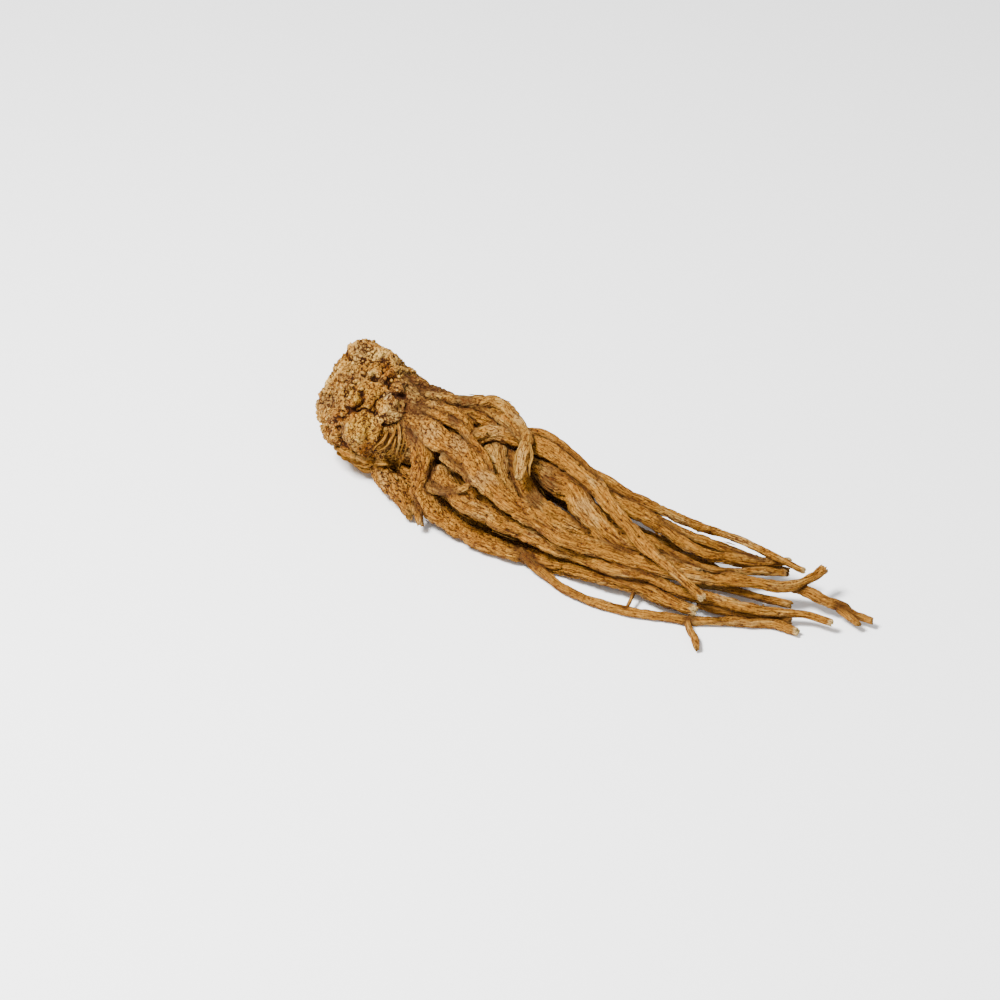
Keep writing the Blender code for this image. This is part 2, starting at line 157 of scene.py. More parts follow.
# Stained places, and places of painted shade in the crown's pits and in hollows, in the same view:
# right, above, radius.
STAINS_AND_SHADE = {
    "rusty": ((-14.5, -4.0, 4.6), (-8.0, -1.5, 2.6), (-3.0, -15.0, 4.0), (4.5, 12.5, 3.6),
              (-12.0, -13.0, 3.6)),
    "greyed": ((-8.8, 11.0, 4.2), (-16.5, 3.6, 4.4), (12.5, 6.0, 5.5), (-6.0, 20.0, 3.6),
               (16.0, 0.0, 4.0), (21.0, 6.0, 3.6), (6.6, -1.2, 4.2)),
    "yellowed": ((-4.2, -7.0, 6.6), (-6.5, 3.4, 3.2), (-8.5, 6.5, 2.4), (2.0, 3.6, 2.0)),
    # painted shade: dark spots in the crown's pits and in hollows where parts meet
    "painted_hollow_shade": ((60.5, -26.0, 4.8), (55.0, -31.0, 4.0), (27.5, -4.3, 2.4), (31.0, 2.5, 3.6),
                 (-10.6, -12.0, 2.0), (-0.3, 11.0, 1.5), (2.7, 17.6, 1.3), (3.2, 9.3, 1.6),
                 (-11.4, -6.3, 1.5), (6.0, -11.5, 4.2), (13.2, -9.0, 3.6)),
    "dusted": ((19.5, -8.5, 3.8), (29.5, -12.0, 3.8), (38.5, -24.5, 3.8), (42.0, -8.5, 3.6),
               (51.0, -2.0, 4.6), (72.0, -34.0, 4.2), (4.4, 4.6, 1.7)),
}

# Lines on the crown, seen from the camera: right of and above its centre.
LEAF_STRIPS = (
    ((-1.7, -14.3), (1.0, -12.6), (3.7, -10.2), (5.1, -7.1)),
    ((-0.4, -15.3), (2.7, -13.9), (6.1, -10.2), (8.1, -4.8)),
    ((3.7, -16.3), (6.4, -13.6), (7.8, -9.5)),
    ((7.1, -16.7), (8.5, -13.3), (9.1, -8.8), (8.8, -3.7)),
    ((8.8, -16.3), (10.2, -11.9), (10.8, -7.5), (10.5, -3.1)),
    ((10.8, -15.0), (12.2, -10.9), (12.5, -7.5), (11.9, -4.1)),
)
COLLAR_RIDGES = (
    ((-15.1, -12.6), (-11.0, -14.4), (-6.5, -16.0), (-2.0, -17.2), (3.0, -18.2), (8.0, -18.2),
     (11.0, -16.4)),
    ((-14.2, -14.6), (-10.0, -16.4), (-5.6, -18.0), (-0.6, -19.4), (4.4, -20.0), (9.0, -19.2)),
    ((-12.0, -16.6), (-8.0, -18.4), (-3.9, -20.0), (1.0, -21.0), (6.0, -21.2)),
)
STRIP_LIFT = 0.1
STRIP_HALF_HEIGHT = 1.6
STRIP_HALF_WIDTH = 0.38
COLLAR_LIFT = 0.7
COLLAR_HALF_HEIGHT = 1.7
COLLAR_HALF_WIDTH = 0.72
LINE_SMOOTHING = 7  # over how many points such a line is smoothed

# The torn skin that hangs between the torn arch and its twin.
ARCH_SKIN = ((69.0, -0.5, 38.2), (75.0, -3.0, 38.2), (80.5, -6.0, 37.8), (85.0, -9.5, 36.8))
ARCH_SKIN_HALF_WIDTH = 1.9
ARCH_SKIN_HALF_HEIGHT = 0.6
# The flat strips that its end splits into.
TORN_STRIPS = (
    ((84, -6.5, 38.6), (87.5, -10.5, 38.2), (90.1, -12.6, 36.6), (92, -16.4, 33.6),
     (93.4, -18.8, 31.2)),
    ((84.5, -7.5, 38.6), (85.6, -13.5, 37), (87, -18.5, 34), (89.4, -21.6, 30.2)),
    ((86, -10, 38.4), (88, -15, 36.6), (90, -19, 33.4), (91.6, -22, 30.6)),
)
TORN_STRIP_HALF_WIDTH = 0.55
TORN_STRIP_HALF_HEIGHT = 0.24

# Longer fibres by the crown, on the side that the camera sees.
LONG_FIBRES = (
    ((46, -11, 27), (41.5, -13.5, 23.5), (40, -17, 18.5), (39, -20, 12)),
    ((41, -9, 30), (38, -14, 25.5), (38.5, -18, 21), (42, -20.5, 17)),
    ((44, -14, 25), (40, -16.5, 23.5), (36.5, -17, 21)),
)
FIBRE_HALF_WIDTH = 0.16

# Loose fibres, peeling flakes and crumbs: how many, and the ranges of their sizes.
HAIRY_GIRTH = 2.1  # only rootlets whose mean radius is more than this have them
HAIRS = 100
HAIR_LENGTHS = (2.5, 8.0)
HAIR_LIFTS = (0.3, 1.6)
HAIR_HALF_WIDTHS = (0.06, 0.12)
SLIVERS = 110
SLIVER_LENGTHS = (2.0, 7.0)
SLIVER_LIFTS = (0.2, 0.9)
SLIVER_HALF_WIDTHS = (0.25, 0.75)
SLIVER_HALF_HEIGHT = 0.13
CROWN_CRUMBS = 240
CROWN_CRUMB_SIZES = (0.35, 0.8)
BARK_CRUMBS = 140
BARK_CRUMB_SIZES = (0.22, 0.5)
CRUMB_UNEVENNESS = 0.28

# The neck and the rootlets: name, bark, thickness from root to tip, and route.
ROOTLETS = (
    (
        "neck", "pale",
        (30, 29, 27, 23, 18, 12, 6),
        ((14, 0, 20), (26, -1, 21), (38, -2, 22), (50, -3, 22), (60, -4, 21), (70, -5, 20),
         (80, -6, 18)),
    ),
    (
        "front_low", "golden",
        (10.6, 10.2, 9.2, 8.2, 7.6, 7.2, 6.8, 6.4, 5.8, 4.4),
        ((36, -8, 24), (49, -17, 23), (51, -20, 18), (52, -23, 12), (57, -25, 7.8), (66, -26, 5),
         (76, -27, 3.8), (87, -27, 3.5), (98, -26, 3.4), (109, -24.5, 3.8), (125, -24, 5),
         (141, -23, 5.4), (154, -23.5, 5), (162, -23, 4.4)),
    ),
    (
        "front_second", "golden",
        (7.0, 8.6, 8.0, 7.0, 6.2, 5.6, 5.2, 5.2, 4.6, 3.6, 2.6),
        ((46, -10, 17), (60, -22, 19), (72, -29, 19.6), (80, -29, 17.6), (90, -28, 15),
         (99, -25.5, 12.8), (110, -25.5, 11.8), (121, -24.5, 10.8), (133, -23, 10),
         (144, -20.5, 9), (155, -20.5, 8), (164, -17, 7), (175, -14, 6), (184, -9.5, 5),
         (193, -5, 4.5), (203, -3.5, 4)),
    ),
    (
        "front_main", "golden",
        (10.0, 10.4, 9.4, 8.2, 7.2, 6.2, 5.4, 4.8, 4.2, 3.6),
        ((32, -5.5, 27), (43, -10.5, 30), (55, -16, 30.5), (65, -18.5, 30), (74, -22.5, 29),
         (82, -25.5, 27), (91, -27, 24), (102, -27.5, 21), (115, -27, 18), (125, -23.5, 16),
         (135, -20.5, 14), (147, -18.5, 13), (163, -13.5, 12), (175, -6, 11), (183, -1.5, 10),
         (187.5, 5, 10), (190.5, 14, 11)),
    ),
    (
        "main_rider", "golden",
        (4.0, 4.4, 4.0, 3.6, 3.0),
        ((34, -6, 29), (43, -8, 33.5), (53, -10.5, 35.5), (63, -12.5, 34.5), (69, -15, 33),
         (75, -17.5, 31), (80, -22, 28)),
    ),
    (
        "flat_wedge", "pale",
        (9.0, 10.0, 8.2, 5.4, 3.2),
        ((66, -4, 24), (73, -7.5, 27.5), (78, -13, 26.5), (82, -17.5, 24.5), (88, -21, 22),
         (95, -25, 20)),
    ),
    (
        "long_diagonal", "golden",
        (6.0, 6.2, 6.8, 6.9, 6.9, 6.4, 5.8, 5.2, 4.6, 3.9),
        ((58, -13, 23), (62, -11.5, 28), (65, -9, 31.5), (70, -6.5, 33.5), (77, -5.5, 34),
         (88, -5, 34), (97, -6, 33), (107, -8, 31), (114, -9.5, 29), (121, -12.5, 27),
         (130, -16, 24), (138, -18.5, 21), (147, -21, 19), (157, -23.5, 16), (166, -25, 13)),
    ),
    (
        "torn_arch", "pale",
        (4.8, 4.8, 5.0, 4.8, 4.6, 4.2, 4.6, 4.8, 3.4),
        ((34, 2, 31), (45.5, -0.5, 36), (56, 0, 37.6), (61, 1, 38.8), (66, 2, 39.7),
         (71, 1, 39.7), (77, -2, 39.4), (82, -5, 38.6), (86.5, -9, 37.8), (88, -14, 36),
         (89.5, -18, 33), (90, -21, 30)),
    ),
    (
        "arch_twin", "pale",
        (3.2, 3.0, 2.8, 2.6),
        ((50, -1, 34), (59.5, 0, 37), (68.5, -2, 37), (75, -4, 37), (81, -7, 37), (86, -9.5, 36)),
    ),
    (
        "arch_flank", "golden",
        (8.0, 8.4, 8.0, 6.4, 5.0),
        ((42, 0, 28), (54, -1, 32), (65, -1.5, 33), (75, -2, 32), (84, -2, 31), (94, -3, 29)),
    ),
    (
        "neck_lump", "golden",
        (8.4, 9.4, 8.8, 5.6),
        ((38, -4, 29), (47, -5, 33), (55, -7, 34), (62, -9, 32), (66, -10, 28)),
    ),
    (
        "broad_middle", "golden",
        (9.0, 9.0, 8.4, 7.4, 6.4, 5.4, 4.2),
        ((66, -4, 22), (80, -9.5, 26), (87, -13.5, 24), (94, -17, 21), (101, -18, 19),
         (109, -17.5, 17), (118, -16, 14), (130, -15, 11)),
    ),
    (
        "fat_club", "golden",
        (6.0, 8.4, 9.8, 10.2, 9.6, 8.2, 6.6, 5.4, 4.2),
        ((74, -3, 24), (90, -8, 27), (98, -10, 26.5), (104, -10, 26), (113, -14.5, 22),
         (121, -17.5, 19), (130, -18, 16), (136, -15, 14), (146, -12, 12), (156, -11, 11)),
    ),
    (
        "thin_upper", "golden",
        (3.0, 3.2, 3.2, 2.8, 2.4),
        ((75, -2, 33), (82, -1.5, 36), (88, -1, 36.5), (100, -3.5, 35), (107, -5, 33),
         (115, -7, 30)),
    ),
    (
        "upper_branch", "golden",
        (4.8, 5.8, 5.8, 5.2, 4.8, 4.2, 3.4),
        ((96, -2, 26), (109, -5, 26), (120, -6.5, 24), (128, -5.5, 22), (137, -4.5, 19),
         (145, -5, 16), (153, -4.5, 14), (162, 1, 12), (170, 7.5, 10), (178, 12.5, 10)),
    ),
    (
        "upper_outer", "golden",
        (4.4, 5.0, 4.8, 4.0, 3.4, 3.0, 2.4),
        ((88, 2, 27), (100, -1, 28), (111, -2.5, 28), (124, -2.5, 25), (131, -1, 23),
         (141, 1.5, 20), (148, 4, 18), (159, 8, 15), (171, 9, 13), (184.5, 10.5, 10)),
    ),
    (
        "upper_link", "golden",
        (3.8, 4.4, 3.6, 2.6),
        ((120, -5, 20), (134, -4, 19.5), (142, -2, 17.5), (150, 0.5, 15.5), (163, 5, 12),
         (170, 7.5, 10.5)),
    ),
    (
        "middle_long", "golden",
        (4.2, 4.2, 3.8, 3.4, 3.0, 2.8),
        ((122, -14, 17), (138, -11.5, 17), (145, -10.5, 14), (152, -9.5, 12), (159, -7.5, 11),
         (166, 0, 9), (178, 10, 7)),
    ),
    (
        "dark_under", "brown",
        (4.4, 4.0, 3.4, 3.0),
        ((135, -12, 9), (152, -12, 8), (170, -8.5, 7), (180, -4, 5), (187, -2.5, 5)),
    ),
    (
        "floor_long", "golden",
        (4.6, 4.2, 3.9, 3.8, 3.7, 3.8, 3.6),
        ((94, -26, 5), (106, -30, 2.6), (116, -33, 1.8), (123, -33.4, 1.7), (131, -33, 1.7),
         (139, -32, 1.7), (149, -29, 1.8), (160, -25, 1.8), (168, -20.5, 1.8), (177, -16, 1.8),
         (186, -11, 1.8), (194.5, -10.5, 1.8)),
    ),
    (
        "floor_twin", "brown",
        (2.8, 3.6, 3.6, 3.2),
        ((160, -19, 4), (174.5, -13.5, 2.6), (184, -9, 2.4), (190, -7, 2.2)),
    ),
    (
        "floor_twig", "brown",
        (3.0, 3.0, 3.0, 2.4),
        ((160, -24, 2.4), (162, -27.5, 1.8), (167, -32, 1.5), (171, -37, 1.5)),
    ),
    (
        "floor_link", "brown",
        (1.6, 1.4, 1.6),
        ((138.5, -24, 4.6), (139.5, -28, 3.4), (140, -32, 2.2)),
    ),
    (
        "forked_tip", "brown",
        (3.8, 4.2, 3.8, 3.6, 4.8, 3.8),
        ((150, -9, 9), (168, -4, 9), (180, 1, 8), (188, 4, 7), (195, 4.5, 6), (200, 5.5, 5),
         (204, 6.5, 4)),
    ),
    (
        "fork_left", "brown",
        (3.2, 3.0, 2.6),
        ((201, 5, 4.6), (206, 3.5, 3.6), (210.5, 2, 3)),
    ),
    (
        "fork_right", "brown",
        (3.2, 3.0, 2.6),
        ((203, 6, 4.4), (208, 6, 3.4), (213.5, 6.5, 3)),
    ),
    (
        "curl", "pale",
        (4.6, 4.0, 3.6, 3.4, 3.2, 3.4, 3.8, 4.0),
        ((54, -22, 14), (61.5, -26.5, 18), (67, -29, 21), (72, -29.5, 23.5), (74.5, -27, 26),
         (72, -25.5, 28), (66, -24, 28.5), (59, -21, 28)),
    ),
    (
        "neck_shoulder", "pale",
        (10.4, 9.8, 8.4, 6.8, 4.6),
        ((22, 3, 30.5), (31, 5.5, 30.5), (38, 5.5, 29.5), (46, 4, 31), (54, 2, 33.5)),
    ),
    (
        "crown_stub", "brown",
        (6.6, 7.6, 8.2, 7.8, 6.0),
        ((22, -8, 8), (30, -15, 6), (38, -19, 5.6), (44, -22, 5), (50, -26.5, 3.6)),
    ),
    (
        "low_flap", "golden",
        (6.2, 5.4, 3.6, 2.0),
        ((52, -22.5, 12), (53, -25.5, 8.5), (54.5, -28.5, 6), (56.5, -31, 4)),
    ),
    (
        "shade_front", "brown",
        (7.0, 7.4, 6.6, 5.8, 5.0, 4.0),
        ((40, -8, 16), (56, -17, 14), (68, -22, 12.5), (80, -22, 11), (94, -20, 9),
         (110, -17, 7), (128, -17, 6)),
    ),
    (
        "shade_middle", "brown",
        (6.4, 6.0, 5.4, 4.8),
        ((50, -8, 17), (60, -15, 18), (70, -20, 18), (84, -22, 16), (98, -21, 13)),
    ),
    (
        "under_front", "brown",
        (8.0, 7.6, 6.8, 6.0, 5.2, 4.2),
        ((26, -4, 8), (36, -10, 6.4), (48, -13.5, 6), (64, -17, 4.8), (88, -18, 3.6),
         (110, -16, 3.6), (132, -14, 3.4), (154, -15, 3)),
    ),
    (
        "back_upper", "golden",
        (7.0, 7.4, 6.8, 6.0, 5.0, 4.0, 3.0),
        ((26, 4, 27), (40, 6, 30.5), (55, 9.5, 27), (75, 12, 20.5), (95, 9, 18.5),
         (115, 6, 15.5), (135, 7, 10.5), (155, 11, 7), (171, 13, 5)),
    ),
    (
        "back_side", "golden",
        (7.6, 8.0, 7.0, 5.8, 4.6, 3.8, 3.0),
        ((26, 9, 21), (40, 13, 20), (55, 16, 17), (80, 18, 12), (105, 15, 7.5), (130, 14, 4),
         (155, 15.5, 2.2), (171, 17, 1.4)),
    ),
    (
        "back_low", "brown",
        (8.0, 7.6, 6.8, 5.8, 4.6, 3.6, 2.8),
        ((26, 7, 12), (38, 11, 10.5), (52, 13, 7), (75, 12, 4), (100, 9, 2.6), (125, 8.5, 2.2),
         (150, 6, 2), (166, 2, 2)),
    ),
    (
        "under_middle", "brown",
        (8.4, 7.6, 6.6, 5.6, 4.6, 3.6, 3.0),
        ((28, 0, 9), (42, 1, 9), (58, 2, 7.5), (82, -2, 5.5), (108, -4, 5), (132, -5.5, 5),
         (156, -6, 5), (174, -4, 4)),
    ),
    (
        "inner_long", "brown",
        (8.0, 7.0, 6.0, 5.0, 4.2, 3.4),
        ((45, 3, 22), (70, 5, 18), (95, 1, 14), (118, -3, 12), (140, 0, 10), (160, 5, 8),
         (178, 12, 6)),
    ),
    (
        "back_cross", "golden",
        (4.4, 4.4, 3.8, 3.4, 2.8),
        ((40, 10, 24), (52, 15.5, 24), (66, 19, 19), (80, 20, 12), (92, 17.5, 6.5), (106, 19, 3),
         (122, 20.5, 1.6)),
    ),
)

ROUTE_STEP = 0.5  # how closely a route is followed
RING_GAP = 0.55  # between the rings of a rootlet's skin
SIDE_GAP = 0.48  # between the corners of a ring
LEAST_SIDES = 18
MOST_SIDES = 72
KNOT_SIZE = 9.0
KNOT_SHARE = 0.12
WANDER = 0.35  # how far a rootlet strays from its route
WANDER_PITCH = 7.0
TWIST_PITCH = 170.0  # the length in which the grain turns once round
GRAIN_WAVER = 0.5  # how far the grain strays from that turn, in radians
GRAIN_WAVER_PITCH = 11.0
NEAR = 1.8  # skin that is closer than this to another rootlet is shaded
NEAR_STEP = 1.5  # between the points that stand for a rootlet's line when that is measured
BALLS_AT_ONCE = 64  # so that measuring it takes little memory
WELD_GAP = 0.0001
FIRST_RING = 0.4
# A rootlet's last rings: how far before its end they are and how wide, as shares of its radius,
# and how much of a ring is broken surface.
END_BEFORE = (0.35, 0.12, 0.0, -0.04, -0.04, 0.0)
END_REACH = (1.0, 0.97, 0.88, 0.6, 0.3, 0.0)
END_BROKEN = (0.0, 0.0, 0.4, 1.0, 1.0, 1.0)
START_REACH = 0.7  # how wide its first ring is
RAGGED_END = 0.55  # how uneven a broken end is, as a share of its radius
PALE_END = 1.5  # how far before its end a rootlet's bark turns pale
PALE_ENDED = ("front_low", "long_diagonal", "floor_long", "front_second", "upper_outer",
              "upper_branch")
DULL_END = 0.3  # how pale the other rootlets' ends are, as a share
CRUMBLY_FROM = 30.0  # the bark is as crumbly as the crown up to here along the root
CRUMBLY_TO = 105.0  # and mostly fibrous past here
LEAST_CRUMBLY = 0.4  # how crumbly the fibrous bark's colours still are

# Kinds of relief on the bark: pitch round the rootlet, how many times longer they are along it,
# and how deep they are on a thick rootlet.
FOLD_PITCH, FOLD_STRETCH, FOLD_DEPTH = 2.3, 3.4, 1.05
WRINKLE_PITCH, WRINKLE_STRETCH, WRINKLE_DEPTH = 1.15, 2.8, 0.65
CREASE_PITCH, CREASE_STRETCH, CREASE_DEPTH = 0.9, 1.3, 0.4
SCAR_PITCH, SCAR_STRETCH, SCAR_DEPTH = 2.6, 0.42, 0.32
LUMP_PITCH, CRUMB_PITCH, CRUMB_DEPTH = 1.9, 1.3, 0.4
LOBE_SHARE = 0.18  # how far its lobes and swellings stand out, as shares of its radius
SWELL_SHARE = 0.08
THICK = 4.0  # the radius from which the relief has its full depth


def lattice(cells, seed):
    """A number from 0 to 1 for each cell of a lattice, the same every time.

    Large primes and shifts scatter the numbers, so that cells side by side have nothing in common.
    """
    mixed = cells[:, 0] * 73856093 ^ cells[:, 1] * 19349663 ^ cells[:, 2] * 83492791
    mixed = (mixed ^ seed * 40503) & 0xFFFFFFFF
    mixed = ((mixed ^ (mixed >> 15)) * 2246822519) & 0xFFFFFFFF
    mixed = ((mixed ^ (mixed >> 13)) * 3266489917) & 0xFFFFFFFF
    return ((mixed ^ (mixed >> 16)) & 0xFFFF) / 65535.0


def soft(places, seed):
    """Smooth noise from -1 to 1, with a step about one long."""
    cells = np.floor(places).astype(np.int64)
    share = places - cells
    share = share * share * (3.0 - 2.0 * share)
    total = np.zeros(len(places))
    for corner in itertools.product((0, 1), repeat=3):
        weight = np.prod(np.where(corner, share, 1.0 - share), axis=1)
        total += weight * lattice(cells + corner, seed)
    return total * 2.0 - 1.0


def uneven(places, seed):
    """Smooth noise in each of the three directions."""
    return np.stack([soft(places, seed + k) for k in range(3)], axis=1)


def furrow(places, seed, sharpness):
    """Narrow grooves, -1 at their floor, that wind through flat ground at 0."""
    return -((1.0 - np.abs(soft(places, seed))) ** sharpness)


def crumbs(places, seed):
    """Rounded grains packed together: 1 on top of a grain and 0 in the gaps."""
    cells = np.floor(places).astype(np.int64)
    first = np.full(len(places), 9.0)
    second = np.full(len(places), 9.0)
    for step in itertools.product((-1, 0, 1), repeat=3):
        other = cells + step
        spots = other + np.stack([lattice(other, seed + 11 * axis) for axis in range(3)], axis=1)
        gap = np.linalg.norm(places - spots, axis=1)
        second = np.minimum(second, np.maximum(first, gap))
        first = np.minimum(first, gap)
    return np.clip((second - first) * 1.6, 0.0, 1.0) ** 0.6


def follow_route(points):
    """Points at an even step on a smooth curve through the route."""
    points = np.array(points, float)
    spans = np.linalg.norm(np.diff(points, axis=0), axis=1)
    ways = np.diff(points, axis=0) / spans[:, None]
    inner = (ways[:-1] * spans[1:, None] + ways[1:] * spans[:-1, None]) / (
        spans[:-1] + spans[1:]
    )[:, None]
    slopes = np.vstack([ways[:1], inner, ways[-1:]])
    placed = []
    for i, span in enumerate(spans):
        u = np.linspace(0.0, 1.0, max(3, int(span / ROUTE_STEP)), endpoint=False)[:, None]
        placed.append(
            points[i] * (2 * u**3 - 3 * u**2 + 1)
            + slopes[i] * span * (u**3 - 2 * u**2 + u)
            + points[i + 1] * (3 * u**2 - 2 * u**3)
            + slopes[i + 1] * span * (u**3 - u**2)
        )
    placed.append(points[-1:])
    return np.vstack(placed)


def finished_mesh(name, shape):
    """The bmesh as a mesh of this name, with its corners' places."""
    mesh = bpy.data.meshes.new(name)
    shape.to_mesh(mesh)
    shape.free()
    flat = np.empty(len(mesh.vertices) * 3)
    mesh.vertices.foreach_get("co", flat)
    return mesh, flat.reshape(-1, 3)


def grid_sheet(name, along, around):
    """A flat sheet of quads, with each corner's share along it and across it."""
    shape = bmesh.new()
    bmesh.ops.create_grid(shape, x_segments=along, y_segments=around, size=0.5)
    mesh, corners = finished_mesh(name, shape)
    shares = corners + 0.5
    return mesh, shares[:, 0], shares[:, 1]


def set_places(mesh, places):
    """Moves the corners to these places, kept within the solid's own box."""
    lowest, highest = np.array(cad_box)
    places = np.clip((places - ORIGIN) * MM, lowest, highest)
    mesh.vertices.foreach_set("co", places.astype(np.float32).ravel())
    mesh.update()


def add_value(mesh, name, values):
    layer = mesh.attributes.new(name, "FLOAT", "POINT")
    layer.data.foreach_set("value", values.astype(np.float32))


def add_vector(mesh, name, vectors):
    layer = mesh.attributes.new(name, "FLOAT_VECTOR", "POINT")
    layer.data.foreach_set("vector", vectors.astype(np.float32).ravel())


def close_skin(mesh):
    """Joins the sheet's meeting edges into one closed skin that faces out."""
    shape = bmesh.new()
    shape.from_mesh(mesh)
    bmesh.ops.remove_doubles(shape, verts=shape.verts, dist=WELD_GAP * MM)
    bmesh.ops.recalc_face_normals(shape, faces=shape.faces)
    shape.to_mesh(mesh)
    shape.free()
    mesh.shade_smooth()


def add_piece(mesh, material):
    """Puts a finished mesh in the scene as a piece of the root."""
    piece = bpy.data.objects.new(mesh.name, mesh)
    bpy.context.scene.collection.objects.link(piece)
    mesh.materials.append(material)
    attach(piece, BODY)
    return piece


class Rootlet:
    """One rootlet's centre line, with what turns shares of its skin into places."""

    def __init__(self, seed, thicknesses, route):
        self.seed = seed
        line = follow_route(route)
        gone = np.concatenate([[0.0], np.cumsum(np.linalg.norm(np.diff(line, axis=0), axis=1))])
        self.length = gone[-1]
        self.gone = np.linspace(0.0, self.length, max(8, int(self.length / ROUTE_STEP)))
        self.line = np.stack([np.interp(self.gone, gone, line[:, k]) for k in range(3)], axis=1)
        share = self.gone / self.length * (len(thicknesses) - 1)
        radii = 0.5 * np.interp(share, np.arange(len(thicknesses)), thicknesses)
        knots = [noise.noise(Vector(place) / KNOT_SIZE) for place in self.line]
        self.radii = radii * (1.0 + KNOT_SHARE * np.array(knots))
        self.girth = float(np.mean(self.radii))
        self.wander()
        self.turn_frames()

    def wander(self):
        """Lets the line stray a little, as a dried rootlet does, but not at its start."""
        fade = np.clip(self.gone / 8.0, 0.0, 1.0)
        for axis in range(3):
            place = np.zeros((len(self.gone), 3))
            place[:, 0] = self.gone / WANDER_PITCH
            place[:, 1] = self.seed * 7.3 + axis * 3.1
            amount = WANDER * min(1.0, self.girth / 3.0)
            self.line[:, axis] += amount * fade * soft(place, self.seed)

    def turn_frames(self):
        """Carries a side direction along the line without twisting it."""
        ways = np.gradient(self.line, axis=0)
        ways /= np.linalg.norm(ways, axis=1)[:, None]
        side = np.cross(ways[0], (0.0, 0.0, 1.0))
        if np.linalg.norm(side) < 0.1:
            side = np.cross(ways[0], (0.0, 1.0, 0.0))
        sides = []
        for way in ways:
            side = side - way * np.dot(side, way)
            side = side / np.linalg.norm(side)
            sides.append(side)
        self.ways = ways
        self.sides = np.array(sides)
        self.ups = np.cross(ways, self.sides)

    def at(self, rows, where):
        """A row of the line's values, read at lengths along it."""
        if rows.ndim == 1:
            return np.interp(where, self.gone, rows)
        return np.stack([np.interp(where, self.gone, rows[:, k]) for k in range(3)], axis=1)


def bark_relief(rootlet, angle, where, radius, places, crumbly):
    """How far the bark stands out, and how raised it is: near 1 on top, below 0 in a furrow."""
    seed = rootlet.seed
    lean = 1.0 if seed % 2 else -1.0
    waver_place = np.stack([where / GRAIN_WAVER_PITCH, np.cos(angle), np.sin(angle)], axis=1)
    waver = GRAIN_WAVER * soft(waver_place, seed + 7)
    turn = angle + lean * math.tau * where / TWIST_PITCH + waver
    girth = rootlet.girth

    def wrapped(pitch, stretch):
        return np.stack(
            [
                np.cos(turn) * girth / pitch + 13.7 * seed,
                np.sin(turn) * girth / pitch,
                where / (pitch * stretch),
            ],
            axis=1,
        )

    lobes = soft(wrapped(girth * 1.3, 4.0), seed)
    swell = soft(wrapped(girth * 2.2, 1.2), seed + 5)
    folds = furrow(wrapped(FOLD_PITCH, FOLD_STRETCH), seed + 1, 4.0)
    wrinkles = furrow(wrapped(WRINKLE_PITCH, WRINKLE_STRETCH), seed + 2, 2.5)
    creases = furrow(wrapped(CREASE_PITCH, CREASE_STRETCH), seed + 9, 2.0)
    scars = furrow(wrapped(SCAR_PITCH, SCAR_STRETCH), seed + 3, 6.0)
    scarred = np.clip(soft(wrapped(4.0, 1.5), seed + 4) * 2.0, 0.0, 1.0)
    rough = np.clip(soft(wrapped(6.0, 1.5), seed + 10) + 0.5, 0.15, 1.0)
    lumps = soft(places / LUMP_PITCH, 53)
    grains = crumbs(places / CRUMB_PITCH, 4) - 0.6
    fibrous = 1.0 - 0.6 * crumbly
    thick = np.clip(radius / THICK, 0.0, 1.0)
    relief = (
        LOBE_SHARE * radius * lobes
        + SWELL_SHARE * radius * swell
        + FOLD_DEPTH * thick**1.3 * folds
        + WRINKLE_DEPTH * thick**1.2 * wrinkles * fibrous
        + CREASE_DEPTH * thick * creases * rough
        + SCAR_DEPTH * thick * scars * scarred
        + CRUMB_DEPTH * thick * crumbly * (lumps + grains)
    )
    # the colour is painted lighter where this is high and darker where it is low: painted
    # highlights and shade
    raised = 0.8 + (0.4 + 0.6 * thick) * (
        0.45 * folds + 0.4 * wrinkles * fibrous + 0.35 * creases * rough
        + 0.3 * scars * scarred + 0.15 * lobes + 0.35 * crumbly * (lumps + grains)
    )
    return relief, raised


